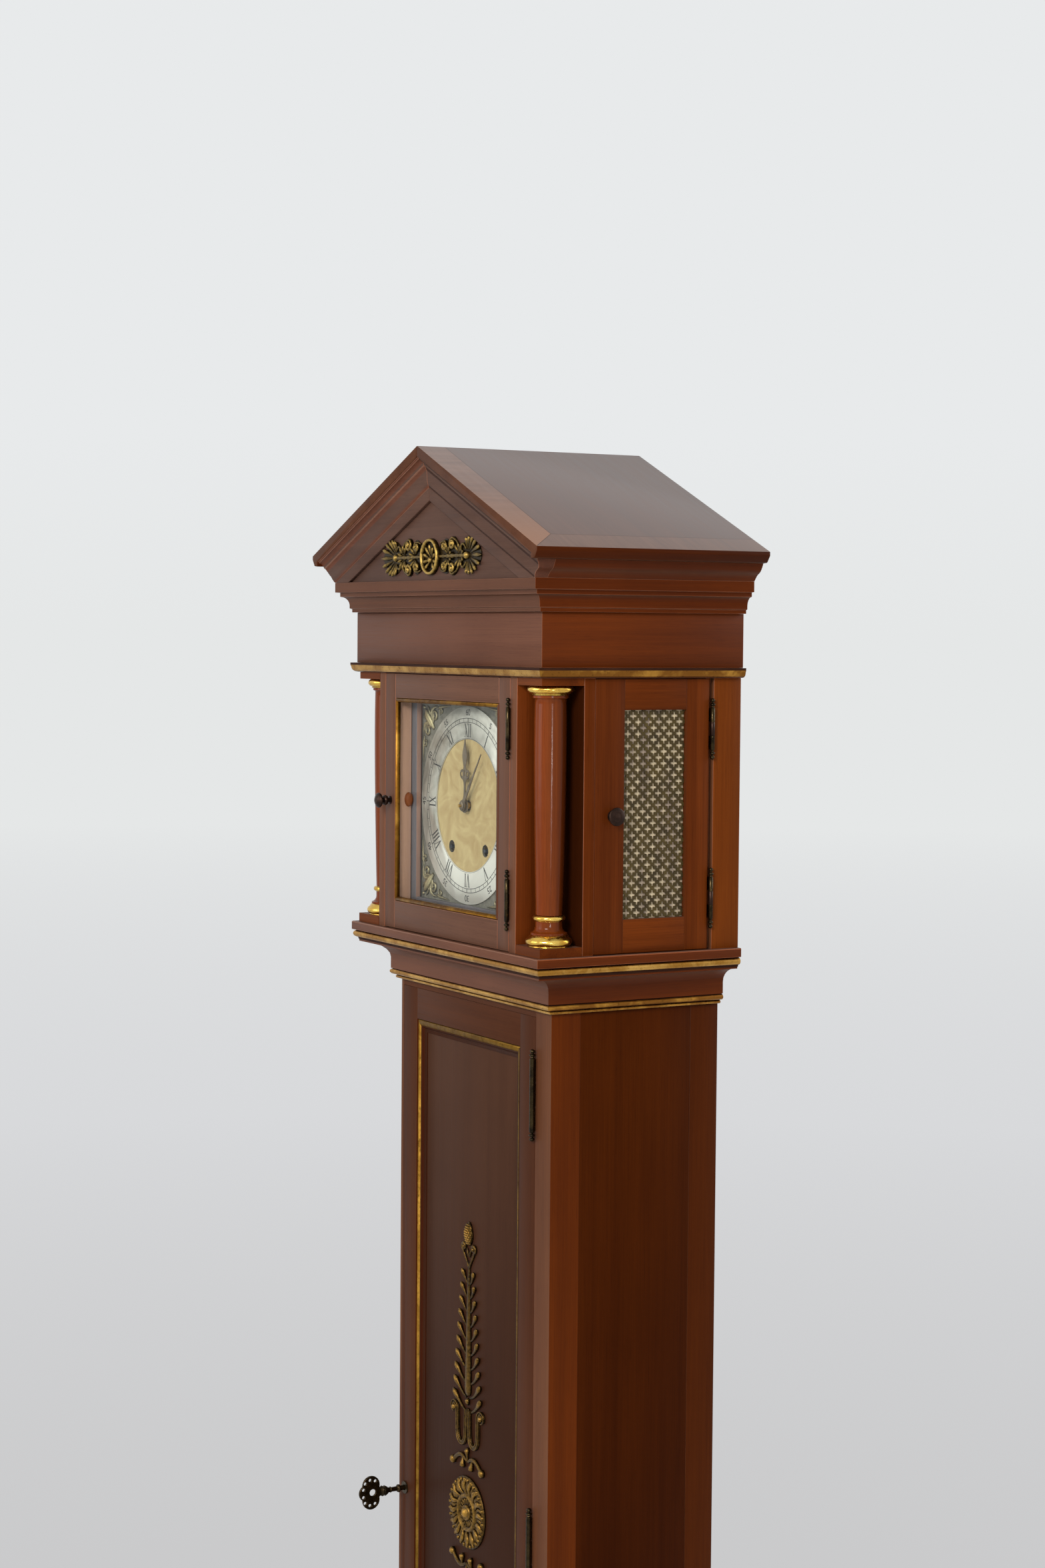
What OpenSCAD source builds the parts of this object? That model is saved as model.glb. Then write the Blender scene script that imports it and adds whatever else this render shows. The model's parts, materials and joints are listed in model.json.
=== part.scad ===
// Longcase clock with a gabled hood, free corner columns and a panelled trunk door.
// Origin: on the floor, under the middle of the clock. X runs to the right seen from
// the front, Y to the back, Z up. All sizes are millimetres.

/* [Heights] */
// Height of the base box, up to the cove that carries the trunk
base_h = 324.7; // [318:0.1:332]
// Length of the trunk between its lower and its upper cove moulding
trunk_h = 1227; // [1215:1:1235]
// Height of the hood doors
door_h = 304.9; // [302:0.1:308]
// Height of the plain frieze under the cornice
frieze_h = 60.7; // [55:0.1:66]

/* [Widths] */
// Half of the roof's width, over both eaves
roof_hw = 277; // [275:0.5:282]
// Half of the hood's width at the frieze
frieze_hw = 225.8; // [225:0.1:227]
// Half of the hood's width at its posts
hood_hw = 222; // [221.5:0.1:222.5]
// Half of the hood's width at its bottom board
board_hw = 229; // [228:0.1:230]
// Half of the trunk's width
trunk_hw = 182; // [181:0.1:183]
// Half of the base's width
base_hw = 225; // [224:0.5:230]

/* [Depths] */
// Depth of the roof, front edge to back edge
roof_d = 298; // [296:1:306]
// Depth at the frieze
frieze_d = 261.5; // [261:0.1:262]
// Depth at the hood door's face
hood_d = 259; // [258.5:0.1:259.5]
// Depth at the hood's bottom board
board_d = 265.8; // [265:0.1:267]
// Depth of the trunk
trunk_d = 220; // [219.5:0.1:220.5]
// Depth of the base
base_d = 262; // [261:0.5:266]

/* [Roof] */
// Rise of the ridge over the eaves
roof_rise = 120; // [100:1:135]
// Thickness of a roof board, measured upright at the gable
slab_v = 12.4; // [11:0.1:14]

/* [Columns] */
// Radius of a column shaft at its widest
shaft_r = 18.4; // [16:0.1:19]
// Radius of a column shaft at its foot
shaft_foot_r = 14.8; // [13:0.1:16]
// Radius of the gilt rings at a column's top and foot
ring_r = 26; // [24:0.1:26.4]

/* [Dial] */
// Side of the square dial plate
dial_w = 236; // [232:1:238]
// Outer radius of the chapter ring
chapter_r = 115; // [110:0.5:116]
// Radius of the matt disc inside the chapter ring
disc_r = 77; // [74:0.5:79]
// Distance of a winding hole from the dial's upright middle line
wind_x = 40.6; // [40.6]
// Distance of the winding holes below the middle of the dial
wind_down = 50; // [50]

/* [Going train] */
// Teeth of the great wheel, driven by the going weight
great_teeth = 96; // [96]
// Leaves of the intermediate arbor's pinion
inter_leaves = 12; // [12]
// Teeth of the intermediate wheel
inter_teeth = 56; // [56]
// Leaves of the centre arbor's pinion
centre_leaves = 8; // [8]
// Teeth of the centre wheel
centre_teeth = 60; // [60]
// Teeth of the third wheel
third_teeth = 56; // [56]
// Teeth of the escape wheel
escape_teeth = 30; // [30]

/* [Pendulum and weights] */
// Length of the pendulum, pivot to the middle of the bob
pendulum_l = 994; // [960:1:1010]
// Radius of the pendulum bob
bob_r = 62; // [55:1:66]
// Radius of a weight
weight_r = 33; // [30:0.5:34]
// Length of a weight
weight_h = 210; // [180:1:220]
// Fall of a weight from fully wound to run down
weight_fall = 1089; // [900:1:1100]

/* [Hidden] */
$fn = 40;

// Colours, as the photograph shows them
wood_front = [0.42, 0.27, 0.22];
wood_side = [0.44, 0.20, 0.09];
wood_dark = [0.24, 0.12, 0.08];
gilt = [0.80, 0.62, 0.26];
bronze = [0.30, 0.26, 0.16];
brass = [0.76, 0.62, 0.34];
silver = [0.78, 0.77, 0.72];
steel = [0.34, 0.34, 0.38];
cloth = [0.82, 0.76, 0.64];

// Gap between pieces that are glued or screwed together
g = 0.1;
// Gap round doors
dg = 0.5;
// Running clearance of a pin in its bore
run = 0.05;
far = 120;

// Depth planes. fy(d) is the plane d millimetres in front of the back.
back_y = roof_d / 2;
function fy(d) = back_y - d;
trunk_y = fy(trunk_d);
hood_y = fy(hood_d);
frieze_y = fy(frieze_d);
base_y = fy(base_d);

// Heights of the case
cove_h = 48.3;
trunk_z0 = base_h + cove_h;
trunk_z1 = trunk_z0 + trunk_h;
rest_z = trunk_z1 + cove_h;
board_z0 = rest_z + 12;
board_z1 = board_z0 + 10.2;
body_z1 = board_z1 + door_h;
frieze_z0 = body_z1 + 11.2;
frieze_z1 = frieze_z0 + frieze_h;
eave_z = frieze_z1 + 68.6;
ridge_z = eave_z + roof_rise;
fascia_z1 = frieze_z1 + 36;
pitch = atan(roof_rise / roof_hw);

// Board thicknesses
board_t = 18;
door_t = 22;
back_t = 12;

// Quarter of an ellipse, from angle a0 to a1, as points of a profile
function bow(cx, cz, rx, rz, a0, a1, n = 6) =
    [for (i = [0:n]) let (a = a0 + (a1 - a0) * i / n) [cx + rx * cos(a), cz + rz * sin(a)]];

// Moulding round the front and both sides. Its profile is a list of [outward, height],
// outward from a body that is hw wide each way and d deep. The lengths meet in mitres.
module run_profile(profile, hw, d) {
    y = fy(d);
    intersection() {
        translate([-hw - far, 0, 0]) rotate([90, 0, 90])
            linear_extrude(2 * (hw + far)) polygon([for (p = profile) [y - p[0], p[1]]]);
        linear_extrude(ridge_z)
            polygon([[hw + far, y - far], [hw - far, y + far], [far - hw, y + far], [-hw - far, y - far]]);
    }
    for (s = [-1, 1]) scale_x(s)
        intersection() {
            translate([0, back_y, 0]) rotate([90, 0, 0])
                linear_extrude(back_y - y + far) polygon([for (p = profile) [hw + p[0], p[1]]]);
            linear_extrude(ridge_z)
                polygon([[hw + far, y - far + g], [hw + far, back_y], [hw - far, back_y],
                    [hw - far, y + far + g]]);
        }
}

// The children as they are, or mirrored to the other side
module scale_x(s) {
    if (s > 0) children();
    else mirror([1, 0, 0]) children();
}

module both_sides() {
    for (s = [-1, 1]) scale_x(s) children();
}

// A block given by its low and its high corner
module block(a, b) {
    translate(a) cube(b - a);
}

// A turned piece with its axis along Y, its profile drawn as [radius, forward]
module turned_y(profile) {
    rotate([90, 0, 0]) rotate_extrude() polygon(profile);
}

// Base

base_top_z = base_h - 18.6;

module base_boards() {
    color(wood_front) {
        run_profile([[-board_t, 12], [0, 12], [0, base_h - g], [-board_t, base_h - g]], base_hw, base_d);
        block([board_t + g - base_hw, base_y + board_t + g, 12], [base_hw - board_t - g, fy(back_t) - g, 24]);
        both_sides()
            block([150, base_y + board_t + g, base_top_z],
                  [base_hw - board_t - g, fy(back_t) - g, base_h - g]);
        block([-150 + g, base_y + board_t + g, base_top_z], [150 - g, trunk_y + 18, base_h - g]);
    }
}

// Wooden coves at the trunk's two ends, and the skirting on the floor

cove_profile = concat(
    [[g, 14.6], [10.3, 14.6]],
    bow(39.2, 28.3, 28.9, 18, 180, 90),
    [[39.2, cove_h], [g, cove_h]]
);
skirting_profile = concat(
    [[g, 0], [12, 0], [12, 56]],
    bow(12, 64, 7, 8, 270, 180, 4),
    [[4, 66], [4, 70], [g, 72]]
);

function above(profile, z) = [for (p = profile) [p[0], z + p[1]]];
function below(profile, z) = [for (p = profile) [p[0], z - p[1]]];

module case_mouldings() {
    color(wood_front) {
        run_profile(above(cove_profile, trunk_z1), trunk_hw, trunk_d);
        run_profile(below(cove_profile, trunk_z0), trunk_hw, trunk_d);
        run_profile(skirting_profile, base_hw, base_d);
    }
}

bead_profile = concat(
    [[g, 2.6], [3.6, 2.6]],
    bow(3.6, 4.6, 2.2, 2, 270, 450, 6),
    bow(6.4, 10.8, 5, 3.6, 270, 450, 8),
    [[g, 14.5]]
);

module case_gilt_beads() {
    color(gilt) {
        run_profile(above(bead_profile, trunk_z1), trunk_hw, trunk_d);
        run_profile(below(bead_profile, trunk_z0), trunk_hw, trunk_d);
    }
}

// Trunk. The door is as wide as the trunk's front less the right-hand post, and laps
// over the left-hand post.

post_w = 36;
post_d = 37;
trunk_post_t = 16;
hinge_x = trunk_hw - post_w + 1.3;
door_x1 = hinge_x - 0.3;
door_x0 = -trunk_hw + 6;
door_z0 = trunk_z0 + 5;
door_z1 = trunk_z1 - 5;
door_back_y = trunk_y + door_t;
door_mid_x = (door_x0 + door_x1) / 2;
door_mid_z = (door_z0 + door_z1) / 2;
lock_x = door_x0 + 10;
lock_z = door_mid_z - 10.5;

back_post_w = 22;
frame_z1 = rest_z - 0.2;

// The left-hand post is a back post with a narrow strip before it. The strip has a
// pocket, which the lock's bolt enters.
module trunk_front_frame() {
    strip_x1 = door_x0 - dg;
    strip_y1 = door_back_y + dg;
    pocket_x0 = 0.8 - trunk_hw;
    pocket_y0 = trunk_y + 11;
    pocket_y1 = trunk_y + 17;
    pocket_z0 = lock_z + 8;
    pocket_z1 = lock_z + 18;
    color(wood_front) {
        block([hinge_x + 0.3, trunk_y, base_h], [trunk_hw, trunk_y + post_d, frame_z1]);
        block([-trunk_hw, strip_y1 + g, base_h], [back_post_w - trunk_hw, trunk_y + post_d, frame_z1]);
        block([-trunk_hw, trunk_y, base_h], [strip_x1, strip_y1, pocket_z0 - g]);
        block([-trunk_hw, trunk_y, pocket_z1 + g], [strip_x1, strip_y1, frame_z1]);
        block([-trunk_hw, trunk_y, pocket_z0], [pocket_x0, strip_y1, pocket_z1]);
        block([pocket_x0 + g, trunk_y, pocket_z0], [strip_x1, pocket_y0, pocket_z1]);
        block([pocket_x0 + g, pocket_y1, pocket_z0], [strip_x1, strip_y1, pocket_z1]);
        block([strip_x1 + g, trunk_y, door_z1 + dg], [hinge_x + 0.2, trunk_y + door_t, frame_z1]);
        block([strip_x1 + g, trunk_y, base_h], [hinge_x + 0.2, trunk_y + door_t, door_z0 - dg]);
    }
}

module trunk_side_panels() {
    color(wood_side) both_sides() {
        block([trunk_hw - trunk_post_t, trunk_y + post_d + g, base_h],
              [trunk_hw, back_y - post_d - g, rest_z + 24]);
        block([trunk_hw - back_post_w, back_y - post_d, base_h], [trunk_hw, back_y, frame_z1]);
    }
}

module backboard() {
    color(wood_dark) {
        block([board_t + g - base_hw, fy(back_t), 12], [base_hw - board_t - g, back_y, base_h - g]);
        block([g + back_post_w - trunk_hw, fy(back_t), base_h],
            [trunk_hw - back_post_w - g, back_y, body_z1 - 14]);
    }
}

// Movement, seen from the front. Its arbors run along Y.

dial_z = board_z1 + 153.5;
seat_z = rest_z + 24.2;
seat_t = 20;
seat_y0 = trunk_y + 31;
plate_hw = 78;
plate_t = 4;
front_plate_y = trunk_y + 19;
back_plate_y = front_plate_y + 70;
plate_top = dial_z + 72;
dial_front_y = fy(229.3);
ring_t = 1.8;
plate_face_y = dial_front_y + ring_t;
barrel_r = 22;
line_r = 0.8;
line_off = barrel_r + line_r + 0.3;
pulley_r = 20;
weight_y = trunk_y + 65;
line_out_x = wind_x + line_off;
line_in_x = line_out_x - 2 * (pulley_r + line_r + 0.2);
weight_x = (line_out_x + line_in_x) / 2;
barrel_z = dial_z - wind_down;
pendulum_y = back_plate_y + 40;

// Arbor places follow from the wheels' sizes
m1 = 0.8;
m2 = 0.6;
m3 = 0.55;
escape_leaves = 7;
third_leaves = 8;
function mesh_r(a, b, m) = (a + b) * m / 2;
// Point at distance ra from a and rb from b, on the side given by s
function meet(a, ra, b, rb, s) =
    let (d = norm(b - a), u = (b - a) / d, t = (ra * ra - rb * rb + d * d) / (2 * d),
        h = sqrt(ra * ra - t * t))
    a + u * t + s * h * [u[1], -u[0]];
barrel_c = [wind_x, barrel_z];
centre_c = [0, dial_z];
inter_c = meet(barrel_c, mesh_r(great_teeth, inter_leaves, m1),
               centre_c, mesh_r(inter_teeth, centre_leaves, m1), 1);
third_r = mesh_r(centre_teeth, third_leaves, m2);
third_c = centre_c + third_r * [-0.49, sqrt(1 - 0.49 * 0.49)];
escape_r = mesh_r(third_teeth, escape_leaves, m3);
escape_c = [0, third_c[1] + sqrt(escape_r * escape_r - third_c[0] * third_c[0])];
pivot_z = escape_c[1] + 23;
pivot_r = 1.2;
motion_teeth = 40;
motion_leaves = 8;
hour_teeth = 96;
m4 = 0.55;
motion_r = mesh_r(motion_teeth, motion_teeth, m4);
m5 = 2 * motion_r / (motion_leaves + hour_teeth);
minute_c = centre_c + motion_r * [-0.707, 0.7072];

module seatboard() {
    color(wood_dark) difference() {
        translate([0, 0, seat_z]) linear_extrude(seat_t)
            polygon([[-trunk_hw, seat_y0], [-plate_hw - 6, seat_y0], [-plate_hw - 6, front_plate_y - 2],
                     [plate_hw + 6, front_plate_y - 2], [plate_hw + 6, seat_y0], [trunk_hw, seat_y0],
                     [trunk_hw, pendulum_y + 30], [-trunk_hw, pendulum_y + 30]]);
        both_sides() for (x = [line_out_x, line_in_x])
            translate([x, weight_y, seat_z - 1]) cylinder(r = 4, h = seat_t + 2);
        block([-20, pendulum_y - 9, seat_z - 1], [20, pendulum_y + 9, seat_z + seat_t + 1]);
    }
}

// A hinge knuckle, its bore on Z
module knuckle(r, pin_r, h) {
    difference() {
        cylinder(r = r, h = h);
        translate([0, 0, -1]) cylinder(r = pin_r + run, h = h + 2);
    }
}

// Fixed half of a hinge: pin, outer knuckles and ball finials. It is centred on Z.
module hinge_pin(r, barrel_h, total_h) {
    tip = (total_h - barrel_h) / 2;
    third = barrel_h / 3;
    rotate_extrude() polygon(concat(
        [[0, -total_h / 2]],
        bow(0, -total_h / 2 + 2.4, r * 0.95, 2.4, -80, 60, 6),
        [[r * 0.5, -barrel_h / 2 - tip + 5.4]],
        bow(r * 0.2, -barrel_h / 2 - tip / 2 + 1.5, r * 0.95, 1.8, -70, 70, 6),
        [[r * 0.7, -barrel_h / 2 - 0.6], [r, -barrel_h / 2], [r, -third / 2 - run], [r / 2, -third / 2 - run],
         [r / 2, third / 2 + run], [r, third / 2 + run], [r, barrel_h / 2], [r * 0.7, barrel_h / 2 + 0.6]],
        bow(r * 0.2, barrel_h / 2 + tip / 2 - 1.5, r * 0.95, 1.8, -70, 70, 6),
        [[r * 0.5, barrel_h / 2 + tip - 5.4]],
        bow(0, total_h / 2 - 2.4, r * 0.95, 2.4, -60, 80, 6),
        [[0, total_h / 2]]
    ));
}

// Moving knuckle of the same hinge
module hinge_eye(r, barrel_h) {
    third = barrel_h / 3;
    translate([0, 0, -third / 2 + 0.1]) knuckle(r, r / 2, third - 0.2);
}

trunk_pin_y = trunk_y - 4.2;
trunk_hinge_r = 3.2;
trunk_barrel_h = 83;
trunk_hinge_h = 104;
trunk_hinge_z = [door_mid_z - 521, door_mid_z, door_mid_z + 521];

// A leaf lies in the gap between door and post, from the knuckle to the wood
module trunk_hinge_pins() {
    color(bronze) for (z = trunk_hinge_z) translate([hinge_x, trunk_pin_y, z]) {
        hinge_pin(trunk_hinge_r, trunk_barrel_h, trunk_hinge_h);
        for (s = [-1, 1])
            translate([0.02, 1.2, s * trunk_barrel_h / 3 - trunk_barrel_h / 6 + 1])
                cube([0.22, 14, trunk_barrel_h / 3 - 2]);
    }
}

module along_y(c, y0, y1) {
    translate([c[0], y1, c[1]]) rotate([90, 0, 0]) linear_extrude(y1 - y0) children();
}

module arbor(c, r, y0, y1) {
    translate([c[0], y1, c[1]]) rotate([90, 0, 0]) cylinder(r = r, h = y1 - y0);
}

module movement_plates() {
    color(brass) {
        for (y = [front_plate_y, back_plate_y]) difference() {
            block([-plate_hw, y, seat_z + seat_t + 0.2], [plate_hw, y + plate_t, plate_top]);
            for (c = [inter_c, third_c, escape_c, [0, pivot_z]])
                arbor(c, pivot_r + run, y - 1, y + plate_t + 1);
            both_sides() arbor(barrel_c, 3.2 + run, y - 1, y + plate_t + 1);
            arbor(centre_c, 1.8 + run, y - 1, y + plate_t + 1);
        }
        difference() {
            union() {
                block([-14, back_plate_y + plate_t + g, pivot_z + 6], [14, pendulum_y + 7, pivot_z + 12]);
                block([-14, back_plate_y + plate_t + g, pivot_z - 8],
                    [-9, back_plate_y + plate_t + 5, pivot_z + 6]);
                block([9, back_plate_y + plate_t + g, pivot_z - 8],
                    [14, back_plate_y + plate_t + 5, pivot_z + 6]);
            }
            block([-1, pendulum_y - 6, pivot_z + 5], [1, pendulum_y + 6, pivot_z + 13]);
        }
    }
}

module plate_pillars() {
    color(brass) {
        both_sides() for (z = [seat_z + seat_t + 14, plate_top - 12])
            translate([plate_hw - 10, back_plate_y - g, z]) rotate([90, 0, 0]) rotate_extrude()
                let (l = back_plate_y - front_plate_y - plate_t - 2 * g)
                polygon(concat([[0, 0], [6, 0], [6, 4], [3.5, 7]],
                               bow(3.5, l / 2, 2.5, 5, -90, 90, 8),
                                   [[3.5, l - 7], [6, l - 4], [6, l], [0, l]]));
        both_sides() for (z = [dial_z - 95, dial_z + 62])
            arbor([plate_hw - 8, z], 3, plate_face_y + 2.6, front_plate_y - g);
    }
}

wind_hole_r = 7.2;

module dial_plate() {
    color(brass) difference() {
        block([-dial_w / 2, plate_face_y, dial_z - dial_w / 2],
            [dial_w / 2, plate_face_y + 2.5, dial_z + dial_w / 2]);
        arbor(centre_c, 6, plate_face_y - 1, plate_face_y + 4);
        both_sides() arbor(barrel_c, wind_hole_r, plate_face_y - 1, plate_face_y + 4);
    }
}

module chapter_ring() {
    color(silver) difference() {
        arbor(centre_c, chapter_r, dial_front_y, plate_face_y - 0.02);
        arbor(centre_c, disc_r, dial_front_y - 1, plate_face_y + 1);
    }
}

bell_z = plate_top + 12;
bell_y = front_plate_y + 36;
bell_stand_z = plate_top - 6;

// Bell of the strike, on a stand between the plates
module bell() {
    color(brass) {
        translate([0, bell_y, bell_z]) rotate_extrude() polygon(concat(
            [[0, 36]], bow(0, 18, 30, 18, 84, 12, 8), [[36, 6], [42, 0], [40, 0], [34, 5]],
            bow(0, 18, 27.6, 15.6, 12, 84, 8), [[0, 33.4]]
        ));
        translate([0, bell_y, bell_stand_z]) cylinder(r = 2.4, h = bell_z + 41 - bell_stand_z);
        block([-8, front_plate_y + plate_t + g, bell_stand_z - 4], [8, back_plate_y - g, bell_stand_z]);
    }
}

// Hood

module hood_base_board() {
    color(wood_front) {
        run_profile([[-board_hw + trunk_hw + 4, board_z0], [0, board_z0], [0, board_z1 - 0.9],
                     [-0.9, board_z1], [-board_hw + trunk_hw + 4, board_z1]], board_hw, board_d);
    }
}

torus_profile = concat(
    [[-28, 0.2], [-6.5, 0.2], [-6, 2.6]],
    bow(-6, 7, 4.7, 4.3, 270, 450, 10),
    [[-6, 11.8], [-28, 11.8]]
);
astragal_profile = concat(
    [[g, 0.4]],
    bow(g, 6, 5.2, 5.6, 270, 360, 6),
    [[6.2, 8.4], [6.2, 11.1], [g, 11.1]]
);

module hood_gilt_mouldings() {
    color(gilt) {
        run_profile(above(torus_profile, rest_z), board_hw, board_d);
        run_profile(above(astragal_profile, body_z1), frieze_hw, frieze_d);
    }
}

// Columns stand free in notches at the hood's front corners
notch_x = 168;
notch_y = hood_y + 54;
door_hw = 152.7;
return_t = 14;
rear_post_x = hood_hw - 22;
hinge_gap_y = back_y - 36.4;

module hood_posts() {
    z0 = board_z1;
    z1 = body_z1;
    color(wood_side) both_sides() {
        block([door_hw + 0.3, hood_y, z0], [notch_x, notch_y - g, z1]);
        block([door_hw + 0.3, notch_y, z0], [hood_hw, notch_y + return_t, z1]);
        translate([0, 0, z0]) linear_extrude(z1 - z0)
            polygon([[rear_post_x, hinge_gap_y - 5.8], [hood_hw - 8, hinge_gap_y - 5.8],
                [hood_hw - 8, hinge_gap_y],
                     [hood_hw, hinge_gap_y], [hood_hw, back_y], [rear_post_x, back_y]]);
    }
}

module frieze_boards() {
    color(wood_front) {
        run_profile([[-65, body_z1 + g], [0, body_z1 + g], [0, frieze_z0], [-65, frieze_z0]], frieze_hw,
            frieze_d);
        run_profile([[-14, frieze_z0 + g], [0, frieze_z0 + g], [0, frieze_z1], [-14, frieze_z1]],
                    frieze_hw, frieze_d);
    }
}

// Horizontal cornice: fillet, cove, step and fascia. Outward from the frieze.
fascia_o = 20.4;
cornice_profile = concat(
    [[-14, g], [4.8, g], [4.8, 4], [7.2, 5], [7.2, 8.4]],
    bow(15.8, 8.4, 8.6, 10.6, 180, 110, 6),
    [[15.8, 19], [15.8, 23.8], [fascia_o, 24.2], [fascia_o, 36], [-14, 36]]
);
fascia_hw = frieze_hw + fascia_o;
fascia_y = frieze_y - fascia_o;
eave_in = 13.4;
rake_back_y = fascia_y + 15;

// Outline of the eave at the side, in the XZ plane, from the fascia out to the roof board
eave_curve = concat(
    [[fascia_hw, fascia_z1 + g], [fascia_hw + 1, fascia_z1 + 1.2]],
    [for (i = [1:8]) let (t = i / 8)
        [fascia_hw + 1 + (roof_hw - eave_in - fascia_hw - 1) * t,
         fascia_z1 + 1.2 + (eave_z - fascia_z1 - 14.2)
             * (0.55 * t + 0.45 * (1 - cos(90 * t)) + 0.09 * sin(360 * t))]]
);

// Depth of the roof board's underside below the ridge, at distance x from the middle
function slab_low(x) = ridge_z - slab_v - x * roof_rise / roof_hw;

module cornice_mouldings() {
    color(wood_front) run_profile(above(cornice_profile, frieze_z1), frieze_hw, frieze_d);
    color(wood_side) both_sides()
        translate([0, back_y, 0]) rotate([90, 0, 0]) linear_extrude(back_y - rake_back_y - g)
            polygon(concat(eave_curve, [[roof_hw - eave_in, slab_low(roof_hw - eave_in) - 6.2],
                                        [fascia_hw - 22, slab_low(fascia_hw - 22) - 0.3],
                                        [fascia_hw - 22, fascia_z1 + g]]));
}

// Raking moulding: fillet, soffit and cyma under the roof board's front edge.
// Points are [forward of the tympanum frame, square distance below the roof's top face].
rake_d = slab_v * cos(pitch);
rake_profile = concat(
    [[-15, rake_d + g], [15.2, rake_d + g], [13.6, rake_d + 2.2]],
    bow(13.6, rake_d + 8.6, 6.4, 6.4, 250, 180, 5),
    [[6.2, rake_d + 8.8], [5.2, rake_d + 10.2]],
    [for (i = [1:7]) let (t = i / 7) [5.2 - 5.2 * (t + 0.16 * sin(360 * t)), rake_d + 10.2 + 21.6 * t]],
    [[-15, rake_d + 31.8]]
);
rake_low = rake_d + 31.8;
frame_w = 13.4;

// Extrude a profile of [forward, down] along the right-hand slope of the gable
module along_rake(profile, y) {
    translate([0, 0, ridge_z]) rotate([0, pitch, 0]) translate([-40, 0, 0]) rotate([90, 0, 90])
        linear_extrude(roof_hw / cos(pitch) + 60) polygon([for (p = profile) [y - p[0], -p[1]]]);
}

// Area in the XZ plane under the eave's outline, right of the middle
module gable_area(z0) {
    translate([0, back_y, 0]) rotate([90, 0, 0]) linear_extrude(roof_d + 10)
        polygon(concat([[g / 2, z0], [fascia_hw - 0.4, z0]], eave_curve,
                       [[roof_hw - eave_in - g, ridge_z], [g / 2, ridge_z]]));
}

module raking_mouldings() {
    color(wood_front) both_sides() intersection() {
        along_rake(rake_profile, fascia_y);
        gable_area(fascia_z1 + g);
    }
}

module tympanum() {
    color(wood_front) {
        both_sides() intersection() {
            along_rake([[-4.4, rake_low + g], [-0.2, rake_low + g], [-0.2, rake_low + frame_w],
                        [-4.4, rake_low + frame_w]], fascia_y);
            gable_area(fascia_z1 + g);
        }
        translate([0, fascia_y + 14.5, 0]) rotate([90, 0, 0]) linear_extrude(10)
            let (low = rake_low / cos(pitch) + 0.4)
            polygon([[0, ridge_z - low], [(ridge_z - low - fascia_z1 - 0.2) * roof_hw / roof_rise,
                fascia_z1 + 0.2],
                     [-(ridge_z - low - fascia_z1 - 0.2) * roof_hw / roof_rise, fascia_z1 + 0.2]]);
    }
}

// Each roof board has a moulded lip along its eave
module roof_boards() {
    color(wood_front) both_sides()
        translate([0, back_y, 0]) rotate([90, 0, 0]) linear_extrude(roof_d)
            polygon([[g / 2, ridge_z], [roof_hw, eave_z], [roof_hw, eave_z - 4.6],
                [roof_hw - 3.6, eave_z - 9.6],
                     [roof_hw - 5.5, eave_z - 12.3], [roof_hw - eave_in, eave_z - 12.9],
                     [roof_hw - eave_in, slab_low(roof_hw - eave_in)], [g / 2, slab_low(0)]]);
}

mount_z = fascia_z1 + 27;
mount_y = fascia_y + 4.5;

// Outline of a fan of leaves, as points from below to above
function fan_outline(l) =
    [for (a = [-70:5:70]) let (r = l - abs(a) / 4 - 8 * (1 - abs(cos(9 * a)))) [r * cos(a), r * sin(a)]];

// Gilt mount on the gable: a patera between two fans of leaves on scrolled stems
module pediment_mount() {
    color(gilt) {
        translate([0, mount_y, mount_z]) turned_y(
            [[0, 0], [20, 0], [20, 3.4], [18.6, 4.6], [17, 3.4], [14, 2.4], [6, 3.6], [3, 5], [0, 5.4]]);
        both_sides() {
            translate([88, mount_y, mount_z]) rotate([90, 0, 0]) linear_extrude(3.2)
                polygon(concat([[-8, -4]], fan_outline(30), [[-8, 4]]));
            for (s = [-1, 1]) translate([55, mount_y, mount_z + s * 13])
                turned_y([[2.6, 0], [6.4, 0], [6.4, 2.6], [5.4, 3.6], [3.6, 3.6], [2.6, 2.6]]);
            translate([74, mount_y, mount_z]) turned_y([[0, 0], [8, 0], [8, 2], [5, 4.4], [0, 5]]);
            block([20.5, mount_y - 2.4, mount_z - 3], [66.5, mount_y, mount_z + 3]);
        }
    }
}

column_x = 195.5;
column_y = hood_y + 26.7;
abacus_t = 8.4;
plinth_t = 10.2;
abacus_hw = 26.6;
shaft_z0 = board_z1 + 44.7;
shaft_z1 = body_z1 - 23;

module hood_columns() {
    color(wood_side) both_sides() translate([column_x, column_y, 0]) {
        rotate_extrude($fn = 64) polygon(concat(
            [[0, shaft_z0 + g], [shaft_foot_r, shaft_z0 + g]],
            [for (i = [1:10]) let (t = i / 10)
                [shaft_foot_r + (shaft_r - shaft_foot_r) * (1 - pow(1 - t, 1.7)) - 0.9 * pow(t, 6),
                 shaft_z0 + (shaft_z1 - shaft_z0) * t]],
            [[20, shaft_z1 + 1], [20, shaft_z1 + 3.8], [0, shaft_z1 + 3.8]]
        ));
        translate([0, 0, board_z1 + 23.2 + g]) rotate_extrude($fn = 64)
            polygon(concat([[0, 0], [20.5, 0], [20.5, 2]], bow(21.2, 9, 6.2, 6.8, 250, 180, 5),
                           [[15, 14.6], [0, 14.6]]));
        block([-abacus_hw, -abacus_hw, body_z1 - abacus_t], [abacus_hw, abacus_hw, body_z1 - g]);
        block([-abacus_hw, -abacus_hw, board_z1 + g], [abacus_hw, abacus_hw, board_z1 + plinth_t]);
    }
}

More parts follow.
